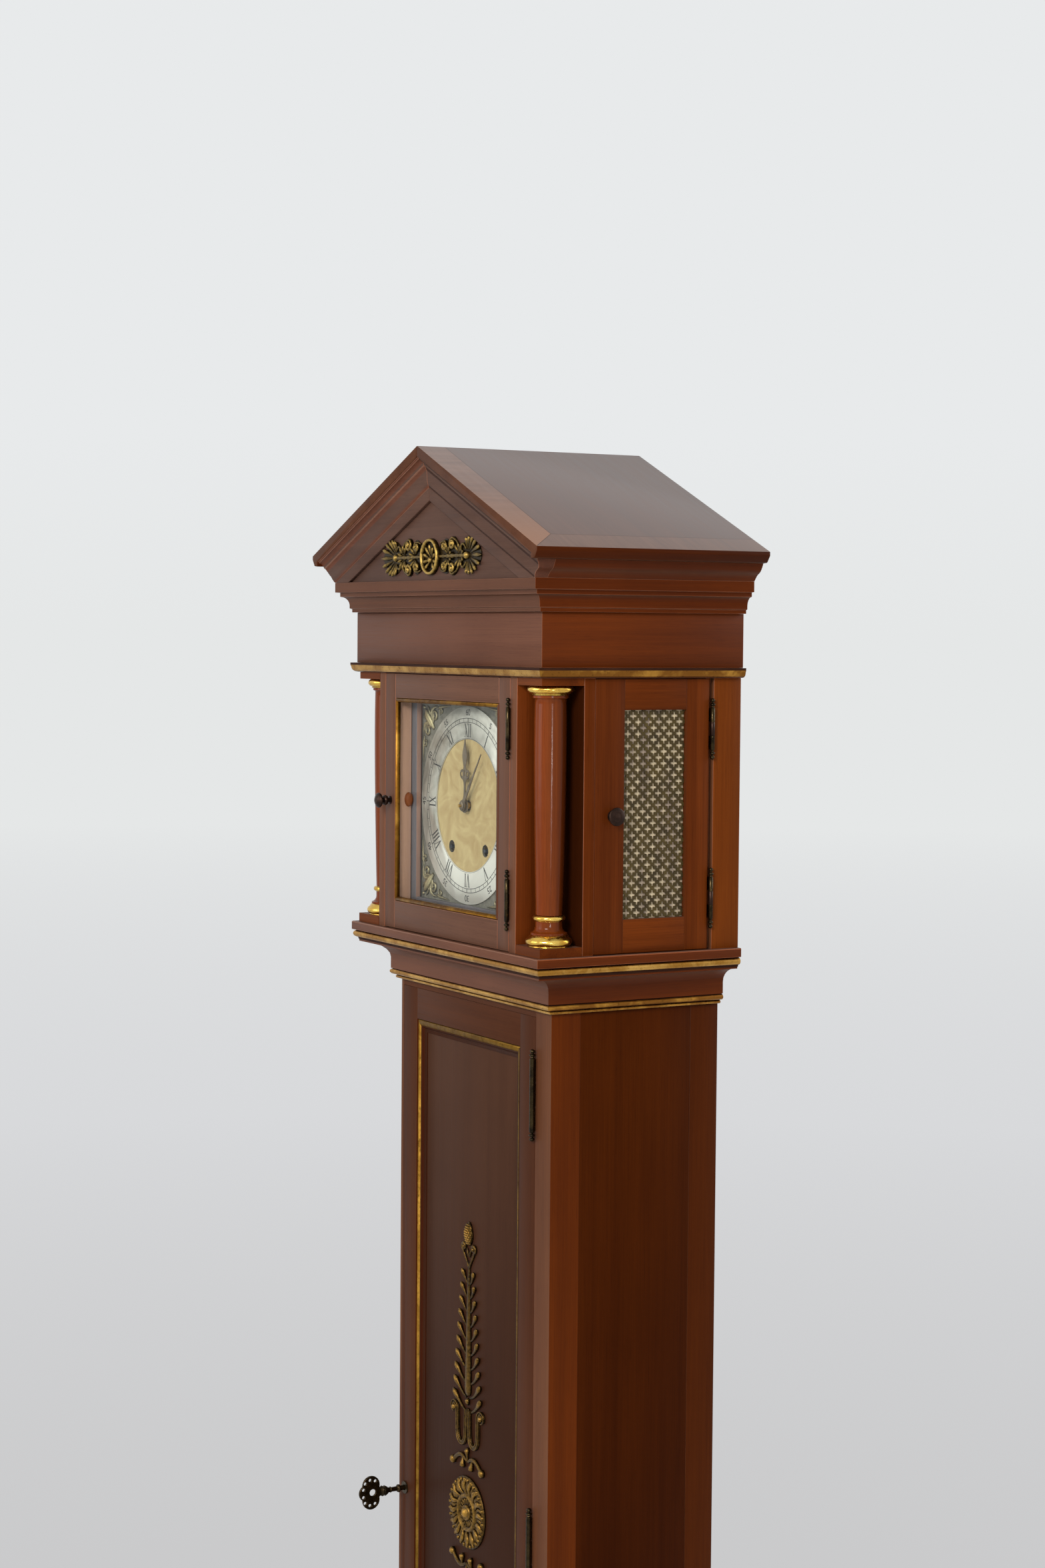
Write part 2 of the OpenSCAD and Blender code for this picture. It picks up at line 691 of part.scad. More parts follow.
module column_gilt_rings() {
    color(gilt) both_sides() translate([column_x, column_y, 0]) {
        translate([0, 0, shaft_z1 + 3.9]) rotate_extrude($fn = 64)
            polygon(concat([[0, 0], [ring_r - 4.5, 0]], bow(ring_r - 4.5, 6.2, 4.5, 4.2, 270, 400, 8),
                           [[ring_r - 3, 10.5], [0, 10.5]]));
        translate([0, 0, board_z1 + plinth_t + g]) rotate_extrude($fn = 64)
            polygon(concat([[0, 0], [ring_r - 3, 0]], bow(ring_r - 5.6, 5.2, 5.6, 4.9, 290, 420, 8),
                           [[ring_r - 5.2, 12.8], [0, 12.8]]));
        translate([0, 0, board_z1 + 38]) rotate_extrude($fn = 64)
            polygon(concat([[0, 0], [15.5, 0]], bow(14.8, 3.2, 3.4, 3.1, 275, 445, 8), [[0, 6.5]]));
    }
}

mask_hw = 115.5;
mask_t = 6;
mask_y = hood_y + door_t + 1;

// Four boards of one frame round an opening, with fine joint lines between them
module frame_boards(x0, x1, z0, z1, left, right, bottom, top, y, t) {
    block([x0, y, z0], [x0 + left, y + t, z1]);
    block([x1 - right, y, z0], [x1, y + t, z1]);
    block([x0 + left + g, y, z0], [x1 - right - g, y + t, z0 + bottom]);
    block([x0 + left + g, y, z1 - top], [x1 - right - g, y + t, z1]);
}

module dial_mask() {
    color(wood_dark) frame_boards(-door_hw - 0.2, door_hw + 0.2, board_z1 + 1, body_z1 - 1,
        door_hw + 0.2 - mask_hw, door_hw + 0.2 - mask_hw, dial_z - mask_hw - board_z1 - 1,
        body_z1 - 1 - dial_z - mask_hw, mask_y, mask_t);
}

hood_pin = [door_hw + 0.05, hood_y - 3];
hood_hinge_r = 2.6;
hood_barrel_h = 46.5;
hood_hinge_h = 68.6;
hood_hinge_z = [board_z1 + 58, body_z1 - 56.9];
side_pin = [hood_hw + 2.8, hinge_gap_y - 3.2];

module hood_hinge_pins() {
    color(bronze) for (z = hood_hinge_z) {
        translate([hood_pin[0], hood_pin[1], z]) {
            hinge_pin(hood_hinge_r, hood_barrel_h, hood_hinge_h);
            for (s = [-1, 1]) translate([0.02, 1, s * hood_barrel_h / 3 - hood_barrel_h / 6 + 0.5])
                cube([0.2, 14, hood_barrel_h / 3 - 1]);
        }
        both_sides() translate([side_pin[0], side_pin[1], z]) {
            hinge_pin(hood_hinge_r, hood_barrel_h, hood_hinge_h);
            for (s = [-1, 1]) translate([-10.5, 1.9, s * hood_barrel_h / 3 - hood_barrel_h / 6 + 0.5])
                cube([9.5, 1.2, hood_barrel_h / 3 - 1]);
        }
    }
}

// Hood door

leaf_x0 = -door_hw + 0.3;
leaf_x1 = door_hw - 0.3;
leaf_z0 = board_z1 + 0.8;
leaf_z1 = body_z1 - 0.8;
stile_w = 25.4;
top_rail = 28.6;
bottom_rail = 32.4;
bead_w = 5;
bead_t = 5;
glass_t = 2.4;
glass_y = hood_y + 8.4;

module hood_door_frame() {
    color(wood_front) frame_boards(leaf_x0, leaf_x1, leaf_z0, leaf_z1,
        stile_w, stile_w, bottom_rail, top_rail, hood_y, door_t);
}

// A half-round bead along the inside of a frame, in four mitred lengths
module bead_frame(x0, x1, z0, z1, w, y, t) {
    module length_of(l) {
        intersection() {
            rotate([90, 0, 90]) linear_extrude(l)
                polygon(concat([[t, 0.02], [t, w]], bow(t * 0.5, w / 2, t * 0.5, w / 2 - 0.02, 90, 270, 8)));
            linear_extrude_y(t + 2) polygon([[0.05, 0], [l - 0.05, 0], [l - w - 1.05, w + 1],
                [w + 1.05, w + 1]]);
        }
    }
    translate([x0, y, z0]) length_of(x1 - x0);
    translate([x1, y, z1]) rotate([0, 180, 0]) length_of(x1 - x0);
    translate([x0, y, z1]) rotate([0, 90, 0]) length_of(z1 - z0);
    translate([x1, y, z0]) rotate([0, -90, 0]) length_of(z1 - z0);
}

// Extrude an XZ outline towards the back
module linear_extrude_y(t) {
    translate([0, t, 0]) rotate([90, 0, 0]) linear_extrude(2 * t) children();
}

bead_x0 = leaf_x0 + stile_w + g;
bead_x1 = leaf_x1 - stile_w - g;
bead_z0 = leaf_z0 + bottom_rail + g;
bead_z1 = leaf_z1 - top_rail - g;

module hood_door_bead() {
    color(gilt) bead_frame(bead_x0, bead_x1, bead_z0, bead_z1, bead_w, hood_y - 0.6, bead_t);
}

module hood_door_glass() {
    color([0.8, 0.85, 0.85, 0.3])
        block([bead_x0 + g, glass_y, bead_z0 + g], [bead_x1 - g, glass_y + glass_t, bead_z1 - g]);
}

// A turned knob with a domed face, a ball neck and a foot
knob_profile = concat(
    [[0, 0], [5, 0], [5, 1], [2.4, 2.2], [2.4, 3.6]],
    bow(2.6, 7, 3.6, 3.2, -70, 70, 6),
    [[2.4, 10.8], [3.4, 12.4]],
    bow(4.6, 15.4, 4.4, 2.8, -60, 60, 6),
    [[5.6, 18.4], [4, 19.4], [0, 20]]
);
knob_x = -door_hw + 13.4;
knob_z = dial_z - 0.5;

module hood_door_brass() {
    color(bronze) {
        translate([knob_x, hood_y - g, knob_z]) turned_y(knob_profile);
        for (z = hood_hinge_z) translate([hood_pin[0], hood_pin[1], z]) {
            hinge_eye(hood_hinge_r, hood_barrel_h);
            translate([-0.22, 1.6, -hood_barrel_h / 6 + 0.5]) cube([0.2, 13, hood_barrel_h / 3 - 1]);
        }
    }
}

// Side doors, drawn for the right-hand side

side_y0 = notch_y + return_t + 0.4;
side_y1 = hinge_gap_y - 6.4;
side_t = 16;
side_stile = 37.4;
side_rear_stile = 29.6;
side_top = 34.4;
side_bottom = 37.4;
win_y0 = side_y0 + side_stile;
win_y1 = side_y1 - side_rear_stile;
win_z0 = leaf_z0 + side_bottom;
win_z1 = leaf_z1 - side_top;
side_knob_y = side_y0 + 22.6;

module side_door() {
    color(wood_side) translate([hood_hw, 0, 0]) rotate([0, 0, 90])
        frame_boards(side_y0, side_y1, leaf_z0, leaf_z1, side_stile, side_rear_stile, side_bottom, side_top,
                     0, side_t);
}

lattice = 13.25;
hole_r = 5.2;
grille_x = hood_hw - 5;

// One opening of the pierced grille: a cross with blunt arms
module grille_hole() {
    polygon([for (i = [0:7]) let (r = i % 2 == 0 ? hole_r : hole_r * 0.52)
        [r * cos(45 * i), r * sin(45 * i)]]);
}

module grille_plate() {
    w = win_y1 - win_y0 - 0.2;
    h = win_z1 - win_z0 - 0.2;
    translate([grille_x, win_y0 + 0.1, win_z0 + 0.1]) rotate([90, 0, 90]) linear_extrude(1.2)
        difference() {
            square([w, h]);
            for (i = [0:12], j = [0:35]) if ((i + j) % 2 == 0)
                let (x = w / 2 + (i - 6) * lattice / 2, z = h / 2 + (j - 17.5) * lattice / 2)
                if (x > hole_r + 0.6 && x < w - hole_r - 0.6 && z > hole_r + 0.6 && z < h - hole_r - 0.6)
                    translate([x, z]) grille_hole();
        }
}

module side_grille() {
    color(brass) grille_plate();
    color(cloth) block([grille_x - 1.4, win_y0 + 0.1, win_z0 + 0.1],
        [grille_x - 0.4, win_y1 - 0.1, win_z1 - 0.1]);
    color(bronze) {
        translate([hood_hw + g, side_knob_y, knob_z]) rotate([0, 0, 90]) turned_y(knob_profile);
        for (z = hood_hinge_z) translate([side_pin[0], side_pin[1], z]) {
            hinge_eye(hood_hinge_r, hood_barrel_h);
            translate([-2.6, -2.6, -hood_barrel_h / 6 + 0.5]) cube([1.2, 1.4, hood_barrel_h / 3 - 1]);
        }
    }
}

module side_door_right() { side_door(); }
module side_door_left() { mirror([1, 0, 0]) side_door(); }
module side_grille_right() { side_grille(); }
module side_grille_left() { mirror([1, 0, 0]) side_grille(); }

// Trunk door

panel_left = 35;
panel_right = 35;
rail_h = 37;
panel_y = trunk_y + 6.4;
panel_t = 9;
case_x0 = lock_x - 7;
case_x1 = lock_x + 14;
case_z0 = lock_z - 20;
case_z1 = lock_z + 32;
case_y0 = trunk_y + 8;

module trunk_door_frame() {
    color(wood_front) difference() {
        frame_boards(door_x0, door_x1, door_z0, door_z1, panel_left, panel_right, rail_h, rail_h,
                     trunk_y, door_t);
        block([case_x0 - 0.1, case_y0 - 0.1, case_z0 - 0.1], [case_x1 + 0.1, door_back_y + 1, case_z1 + 0.1]);
        arbor([lock_x, lock_z], 3.6, trunk_y - 1, trunk_y + 12);
        translate([door_x0 - 1, trunk_y + 12, lock_z + 9]) cube([8, 4, 8]);
    }
}

module trunk_door_panel() {
    color(wood_front) block([door_x0 + panel_left + g, panel_y, door_z0 + rail_h + g],
                            [door_x1 - panel_right - g, panel_y + panel_t, door_z1 - rail_h - g]);
}

// The gilt moulding hides the joint of panel and frame: a bead at the stile, then a cove
module trunk_door_bead() {
    color(gilt) bead_frame(door_x0 + panel_left + g, door_x1 - panel_right - g,
        door_z0 + rail_h + g, door_z1 - rail_h - g, 8, panel_y - 6.2, 6.1);
}

mounts_y = panel_y - 0.1;
rosette_r = 43.5;
crest_z = 56;
lyre_z = 92;
lyre_x = 15;
lyre_r = 11;
lyre_stem = 6;
frond_z0 = 138;
frond_z1 = 296;
heart_z = 290;
cone_z = 333;
leaf_tip_r = 3.4;
function leaf_tip(i) = [33 - 2.1 * i, 142 + 16.6 * i];

// Half of the lyre as an outline: a long inner stem, a U, and a scroll on the outer stem
module lyre_half() {
    translate([lyre_x, lyre_z]) {
        difference() {
            circle(r = lyre_r);
            circle(r = lyre_r - lyre_stem);
            translate([-lyre_r - 1, 0]) square([2 * lyre_r + 2, lyre_r + 1]);
        }
        translate([-lyre_r, -0.1]) square([lyre_stem, 32]);
        translate([lyre_r - lyre_stem, -0.1]) square([lyre_stem, 26]);
        translate([lyre_r + 5.5, 28]) difference() {
            circle(r = 6.5);
            circle(r = 2.4);
        }
    }
}

// The frond as an outline: a slender rib with nine leaves a side, and a heart at its top
module frond_outline() {
    polygon([[-3, frond_z0], [3, frond_z0], [1.6, frond_z1], [-1.6, frond_z1]]);
    for (i = [0:8], e = [0, 1]) let (tip = leaf_tip(i), drop = 20, l = norm([tip[0], drop]))
        mirror([e, 0]) translate([0, tip[1] - drop]) rotate(atan2(drop, tip[0])) translate([0, -1.8])
            square([l, 3.6]);
    translate([0, heart_z]) polygon([[0, 0], [15, 23], [9, 27], [0, 13], [-9, 27], [-15, 23]]);
}

// Rosette with a ring of petals. Above and below it, alike: a crest with four beads, a
// lyre, the frond, and a pine cone.
module trunk_door_mounts() {
    bead = [[0, 0], [4.6, 0], [4, 2.6], [0, 4.4]];
    small_bead = [[0, 0], [leaf_tip_r, 0], [2.6, 2.6], [0, 3.8]];
    color(gilt) translate([door_mid_x, mounts_y, door_mid_z]) {
        turned_y([[0, 0], [rosette_r, 0], [rosette_r, 2.4], [38, 5], [24, 3.6], [21, 5.2], [17, 3], [10, 3],
                  [8, 6], [0, 9]]);
        for (s = [0, 180]) rotate([0, s, 0]) {
            for (x = [-35, -10.5, 10.5, 35]) translate([x, 0, crest_z]) turned_y(bead);
            block([-39, -2, crest_z + 2], [39, 0, crest_z + 6]);
            block([-1.8, -2.2, crest_z + 5], [1.8, 0, crest_z + 16]);
            translate([0, 0, crest_z + 18]) turned_y(bead);
            rotate([90, 0, 0]) linear_extrude(3) {
                lyre_half();
                mirror([1, 0]) lyre_half();
                frond_outline();
            }
            translate([0, 0, frond_z0 - 4]) turned_y(small_bead);
            for (i = [0:8], e = [-1, 1]) let (tip = leaf_tip(i))
                translate([e * tip[0], 0, tip[1]]) turned_y(small_bead);
            translate([0, 0, cone_z]) rotate([90, 0, 0]) linear_extrude(5)
                polygon(bow(0, 0, 9, 13.5, 0, 345, 23));
        }
    }
}

module trunk_door_hinges() {
    color(bronze) for (z = trunk_hinge_z) translate([hinge_x, trunk_pin_y, z]) {
        hinge_eye(trunk_hinge_r, trunk_barrel_h);
        translate([-0.24, 2, -trunk_barrel_h / 6 + 1]) cube([0.22, 13, trunk_barrel_h / 3 - 2]);
    }
}

key_r = 3;

// Lock case let into the back of the stile, and the escutcheon round the keyhole
module trunk_door_lock() {
    color(bronze) {
        difference() {
            block([case_x0, case_y0, case_z0], [case_x1, door_back_y, case_z1]);
            block([case_x0 + 1, case_y0 + 1, case_z0 + 1], [case_x1 - 1, door_back_y - 1, case_z1 - 1]);
            arbor([lock_x, lock_z], key_r + 0.1, case_y0 - 1, case_y0 + 2);
            translate([case_x0 - 1, trunk_y + 12.6, lock_z + 9.6]) cube([3, 2.8, 6.8]);
        }
        difference() {
            arbor([lock_x, lock_z], 7.5, trunk_y - 1.6, trunk_y - g);
            arbor([lock_x, lock_z], 3.6, trunk_y - 3, trunk_y + 1);
        }
    }
}

// The bolt runs through a slot in the lock case. It stands free of the post at rest.
module lock_bolt() {
    color(steel) block([door_x0 + 0.6, trunk_y + 13, lock_z + 10], [case_x1 - 3, trunk_y + 15, lock_z + 16]);
}

bow_y = trunk_y - 45;
key_tip_y = door_back_y - 2.2;

module trunk_door_key() {
    color(bronze) {
        arbor([lock_x, lock_z], key_r, trunk_y - 30, key_tip_y);
        translate([lock_x, trunk_y - 8, lock_z]) turned_y(concat(
            [[0, 0], [5, 0], [5, 3], [3.4, 5], [3, 12]],
                [[4.2, 16], [6.2, 20], [7.4, 23], [3, 25], [0, 25]]));
        translate([lock_x - 1.4, 0, 0]) rotate([90, 0, 90]) linear_extrude(2.8) difference() {
            union() {
                translate([bow_y - 2, lock_z + 9]) circle(r = 12);
                translate([bow_y - 2, lock_z - 9]) circle(r = 12);
                translate([bow_y - 6, lock_z]) circle(r = 9);
                polygon([[bow_y + 16, lock_z - 4], [bow_y + 4, lock_z - 16], [bow_y - 6, lock_z - 14],
                         [bow_y - 6, lock_z + 14], [bow_y + 4, lock_z + 16], [bow_y + 16, lock_z + 4]]);
            }
            translate([bow_y, lock_z]) circle(r = 4.4);
            for (s = [-1, 1]) {
                translate([bow_y + 0.5, lock_z + s * 14]) circle(r = 2, $fn = 16);
                translate([bow_y - 6, lock_z + s * 14]) circle(r = 2, $fn = 16);
                translate([bow_y - 9, lock_z + s * 5]) circle(r = 2, $fn = 16);
            }
        }
        block([lock_x - 1, case_y0 + 6, lock_z - 5.8], [lock_x + 1, key_tip_y - 0.1, lock_z - 2]);
    }
}

// Hands, one above the other in front of the dial

hour_y = dial_front_y - 4.4;
minute_y = dial_front_y - 7.6;
cannon_r = 3;
pipe_r = 4.4;
minute_turn = 30;

// A hand from half of its outline, given as [sideways, along] points up to its tip
module hand(y, t, r_eye, bore, half, turn, holes = []) {
    translate([centre_c[0], y + t, centre_c[1]]) rotate([90, 0, 0]) rotate([0, 0, -turn]) linear_extrude(t)
        difference() {
            union() {
                circle(r = r_eye);
                polygon(concat(half, [for (i = [len(half) - 1:-1:0]) [-half[i][0], half[i][1]]]));
            }
            circle(r = bore);
            for (h = holes) translate(h) circle(r = 2.6, $fn = 24);
        }
}

// Two loops, a waist and a spear
hour_half = [[2, 4], [1.6, 24], [3.4, 29], [8.6, 31.4], [11, 36.5], [8.6, 41.5], [4.4, 42.4], [3, 47.5],
             [5.7, 57], [4.2, 64], [1.6, 72], [0.2, 76.8]];
minute_half = [[2.4, 4], [2.2, 24], [1.8, 30], [1.2, 40], [0.9, 60], [0.3, 75.5]];

module hour_hand() {
    color(steel) hand(hour_y, 1.3, 8.5, pipe_r + 0.02, hour_half, 0, [[-6.6, 36.5], [6.6, 36.5]]);
}

module minute_hand() {
    color(steel) {
        hand(minute_y, 1.2, 6.5, cannon_r + 0.02, minute_half, minute_turn);
        difference() {
            arbor(centre_c, 5, minute_y - 1.4, minute_y - g);
            arbor(centre_c, 1.85, minute_y - 2, minute_y + 1);
        }
    }
}

// Wheel or pinion with slender teeth, so that no tooth binds at any turn
module gear(teeth, m, bore, turn = 0) {
    r = teeth * m / 2;
    root = r - 1.25 * m;
    tip = r + (teeth < 20 ? 0.5 : 0.62) * m;
    step = 360 / teeth;
    wide = teeth < 20 ? 0.24 : 0.25;
    slim = teeth < 20 ? 0.12 : 0.09;
    difference() {
        rotate(turn) polygon([for (i = [0:teeth - 1], k = [0:3])
            let (a = step * (i + [-wide, -slim, slim, wide][k]), q = k == 0 || k == 3 ? root : tip)
            [q * cos(a), q * sin(a)]]);
        if (bore > 0) circle(r = bore);
    }
}

// Turn in degrees that puts a tooth of the wheel at the angle of the line from a to b
function aim(a, b) = atan2(b[1] - a[1], b[0] - a[0]);

centre_wheel_y = back_plate_y - 46;

module centre_arbor() {
    color(brass) {
        arbor(centre_c, 1.8, dial_front_y - 12.2, back_plate_y + plate_t + 2);
        along_y(centre_c, centre_wheel_y, centre_wheel_y + 3)
            gear(centre_teeth, m2, 1.8, aim(centre_c, third_c));
        along_y(centre_c, front_plate_y + 10, front_plate_y + 20)
            gear(centre_leaves, m1, 1.8, aim(centre_c, inter_c) + 180 / centre_leaves);
        difference() {
            arbor(centre_c, cannon_r, minute_y, front_plate_y - 2);
            arbor(centre_c, 1.82, dial_front_y - 20, front_plate_y + 2);
        }
        along_y(centre_c, front_plate_y - 5, front_plate_y - 3)
            gear(motion_teeth, m4, cannon_r, aim(centre_c, minute_c));
    }
}

module hour_wheel() {
    color(brass) {
        along_y(centre_c, front_plate_y - 10, front_plate_y - 8)
            gear(hour_teeth, m5, cannon_r + run, aim(centre_c, minute_c));
        difference() {
            arbor(centre_c, pipe_r, hour_y - 0.6, front_plate_y - 8.2);
            arbor(centre_c, cannon_r + run, hour_y - 2, front_plate_y - 6);
        }
    }
}

module minute_wheel() {
    color(brass) {
        along_y(minute_c, front_plate_y - 5, front_plate_y - 3)
            gear(motion_teeth, m4, 0, aim(minute_c, centre_c) + 180 / motion_teeth);
        along_y(minute_c, front_plate_y - 11, front_plate_y - 5)
            gear(motion_leaves, m5, 0, aim(minute_c, centre_c) + 180 / motion_leaves);
        arbor(minute_c, 1, front_plate_y - 3, front_plate_y - 0.2);
    }
}

great_y = front_plate_y + plate_t + 2;
inter_wheel_y = front_plate_y + 13;

module great_wheel() {
    color(brass) along_y(barrel_c, great_y, great_y + 3.6)
        gear(great_teeth, m1, 3.2 + run, aim(barrel_c, inter_c));
}

module intermediate_wheel() {
    color(brass) {
        along_y(inter_c, inter_wheel_y, inter_wheel_y + 2.4)
            gear(inter_teeth, m1, 0, aim(inter_c, centre_c));
        along_y(inter_c, great_y - 0.6, great_y + 5)
            gear(inter_leaves, m1, 0, aim(inter_c, barrel_c) + 180 / inter_leaves);
        arbor(inter_c, 2, great_y + 5, back_plate_y - 3);
        arbor(inter_c, pivot_r, front_plate_y + 0.5, back_plate_y + 3.5);
    }
}

third_wheel_y = back_plate_y - 32;

module third_wheel() {
    color(brass) {
        along_y(third_c, third_wheel_y, third_wheel_y + 2.2) gear(third_teeth, m3, 0, aim(third_c, escape_c));
        along_y(third_c, centre_wheel_y - 1.5, centre_wheel_y + 4.5)
            gear(third_leaves, m2, 0, aim(third_c, centre_c) + 180 / third_leaves);
        arbor(third_c, pivot_r, front_plate_y + 0.5, back_plate_y + 3.5);
    }
}

escape_y = back_plate_y - 14;
escape_tip = 15.5;

module escape_wheel() {
    color(brass) {
        along_y(escape_c, escape_y, escape_y + 2) difference() {
            polygon([for (i = [0:escape_teeth - 1], k = [0:2])
                let (a = 360 / escape_teeth * (i + [0, 0.08, 0.62][k]),
                q = k == 1 ? escape_tip : escape_tip - 3.4) [q * cos(a), q * sin(a)]]);
            circle(r = 1);
        }
        along_y(escape_c, third_wheel_y - 1.2, third_wheel_y + 3.4)
            gear(escape_leaves, m3, 0, aim(escape_c, third_c) + 180 / escape_leaves);
        arbor(escape_c, pivot_r, front_plate_y + 0.5, back_plate_y + 3.5);
    }
}

// Anchor over the escape wheel, its arbor, and the crutch that leads the pendulum.
// The pallets stand just clear of the teeth.
module anchor_and_crutch() {
    reach = escape_tip + 1.5;
    drop = pivot_z - escape_c[1];
    crutch_y = back_plate_y + plate_t + 11;
    crutch_z = pivot_z - 150;
    color(steel) {
        along_y([0, pivot_z], escape_y - 0.6, escape_y + 2.6) difference() {
            union() {
                polygon(concat(bow(0, -drop, reach + 3.2, reach + 3.2, 146, 34, 10),
                               bow(0, -drop, reach, reach, 34, 146, 10)));
                translate([-2.4, reach + 1 - drop]) square([4.8, drop - reach - 1]);
                circle(r = 3.6);
            }
            circle(r = 1);
        }
        arbor([0, pivot_z], pivot_r, front_plate_y + 0.5, crutch_y + 3);
        block([-2.2, crutch_y, crutch_z], [2.2, crutch_y + 2, pivot_z + 2]);
        for (x = [-5.2, 3.2])
            block([x, crutch_y + 1, crutch_z - 2], [x + 2, pendulum_y + 6, crutch_z + 2]);
        block([-5.2, crutch_y, crutch_z - 2], [5.2, crutch_y + 2, crutch_z + 2]);
    }
}

bob_z = pivot_z - pendulum_l;

// Pendulum: suspension spring, rod, bob and rating nut
module pendulum() {
    color(steel) {
        block([-0.3, pendulum_y - 5, pivot_z - 14], [0.3, pendulum_y + 5, pivot_z + 14]);
        block([-3, pendulum_y - 6, pivot_z + 14], [3, pendulum_y + 6, pivot_z + 18]);
        block([-3, pendulum_y - 2.4, bob_z + bob_r + 2], [3, pendulum_y + 2.4, pivot_z - 14]);
        translate([0, pendulum_y, bob_z - bob_r - 30]) cylinder(r = 1.6, h = 2 * bob_r + 34);
    }
    color(brass) {
        translate([0, pendulum_y, bob_z]) difference() {
            rotate([90, 0, 0]) rotate_extrude($fn = 72) polygon(concat(
                [[0, -13]], bow(0, 0, bob_r, 13, -80, 80, 16), [[0, 13]]));
            translate([0, 0, -bob_r - 1]) cylinder(r = 1.7, h = 2 * bob_r + 2);
        }
        translate([0, pendulum_y, bob_z - bob_r - 8]) difference() {
            cylinder(r = 9, h = 6);
            translate([0, 0, -1]) cylinder(r = 1.7, h = 8);
        }
    }
}

barrel_y0 = great_y + 10;
barrel_y1 = back_plate_y - 4;

// Barrel with its line's grooves, and the arbor with the winding square
module barrel() {
    color(brass) {
        translate([wind_x, barrel_y1, barrel_z]) rotate([90, 0, 0]) rotate_extrude($fn = 64)
            let (l = barrel_y1 - barrel_y0)
            polygon(concat([[0, 0], [barrel_r + 3, 0], [barrel_r + 3, 1.6], [barrel_r, 1.6]],
                [for (i = [0:11], k = [0:1])
                    [barrel_r - (k == 1 ? 0.7 : 0), 2.6 + (l - 5.2) * (i + k / 2) / 12]],
                [[barrel_r, l - 1.6], [barrel_r + 3, l - 1.6], [barrel_r + 3, l], [0, l]]));
        arbor(barrel_c, 3.2, front_plate_y - 1, back_plate_y + plate_t + 1);
        block([wind_x - 2, plate_face_y - 1, barrel_z - 2], [wind_x + 2, front_plate_y - 1, barrel_z + 2]);
    }
}

module going_barrel() { barrel(); }
module strike_barrel() {
    mirror([1, 0, 0]) barrel();
    color(brass) along_y([-wind_x, barrel_z], great_y, great_y + 3.6) gear(84, m1, 3, 0);
}

// Weights rest run down: each hangs by a pulley in the bight of its line
pulley_z = seat_z - 62 - weight_fall;
weight_top = pulley_z - 52;

module weight() {
    translate([weight_x, weight_y, 0]) {
        color(brass) translate([0, 0, weight_top - weight_h]) rotate_extrude($fn = 64)
            polygon(concat([[0, 0], [weight_r - 2, 0], [weight_r, 2], [weight_r, weight_h - 6],
                            [weight_r - 3, weight_h - 3], [8, weight_h], [0, weight_h]]));
        color(steel) {
            translate([0, 0, weight_top]) cylinder(r = 2, h = 22);
            block([-5, -8, pulley_z - 30], [5, 8, pulley_z - 26]);
            for (y = [-8, 5.6]) block([-5, y, pulley_z - 26], [5, y + 2.4, pulley_z + 6]);
            arbor([0, pulley_z], 1.9, -8, 8);
        }
        color(brass) translate([0, 5, pulley_z]) rotate([90, 0, 0]) difference() {
            rotate_extrude($fn = 64) polygon([[0, 0.6], [pulley_r + 2.6, 0.6], [pulley_r, 4], [pulley_r, 6],
                                              [pulley_r + 2.6, 9.4], [0, 9.4]]);
            translate([0, 0, -1]) cylinder(r = 1.9 + run, h = 12);
        }
    }
}

module going_weight() { weight(); }
module strike_weight() { mirror([1, 0, 0]) weight(); }

// Line from the barrel down to the pulley and up again to the seatboard
module line_runs() {
    color(wood_side) for (x = [line_out_x, line_in_x])
        translate([x, weight_y, pulley_z])
            cylinder(r = line_r, h = (x == line_out_x ? barrel_z : seat_z + seat_t) - pulley_z, $fn = 16);
}

module going_line() { line_runs(); }
module strike_line() { mirror([1, 0, 0]) line_runs(); }

hammer_c = [-54, plate_top - 22];

// Strike hammer beside the bell, on its own arbor between the plates
module strike_hammer() {
    color(steel) {
        arbor(hammer_c, pivot_r, front_plate_y + plate_t + 1, back_plate_y - 1);
        along_y(hammer_c, bell_y - 1.5, bell_y + 1.5) polygon([[-2.4, -6], [2.4, -6], [2.4, 34], [-2.4, 34]]);
        translate([hammer_c[0] - 1, bell_y, hammer_c[1] + 38]) rotate([0, 90, 0]) cylinder(r = 5, h = 9);
    }
}

base_boards();
case_mouldings();
case_gilt_beads();
trunk_front_frame();
trunk_side_panels();
backboard();
seatboard();
trunk_hinge_pins();
movement_plates();
plate_pillars();
dial_plate();
chapter_ring();
bell();
hood_base_board();
hood_gilt_mouldings();
hood_posts();
frieze_boards();
cornice_mouldings();
raking_mouldings();
tympanum();
roof_boards();
pediment_mount();
hood_columns();
column_gilt_rings();
dial_mask();
hood_hinge_pins();
hood_door_frame();
hood_door_bead();
hood_door_glass();
hood_door_brass();
side_door_left();
side_grille_left();
side_door_right();
side_grille_right();
trunk_door_frame();
trunk_door_panel();
trunk_door_bead();
trunk_door_mounts();
trunk_door_hinges();
trunk_door_lock();
lock_bolt();
trunk_door_key();
minute_hand();
hour_hand();
centre_arbor();
hour_wheel();
minute_wheel();
great_wheel();
intermediate_wheel();
third_wheel();
escape_wheel();
anchor_and_crutch();
pendulum();
going_barrel();
strike_barrel();
going_weight();
strike_weight();
going_line();
strike_line();
strike_hammer();
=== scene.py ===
import bmesh
import bpy
import json
import math
from mathutils import Matrix, Vector

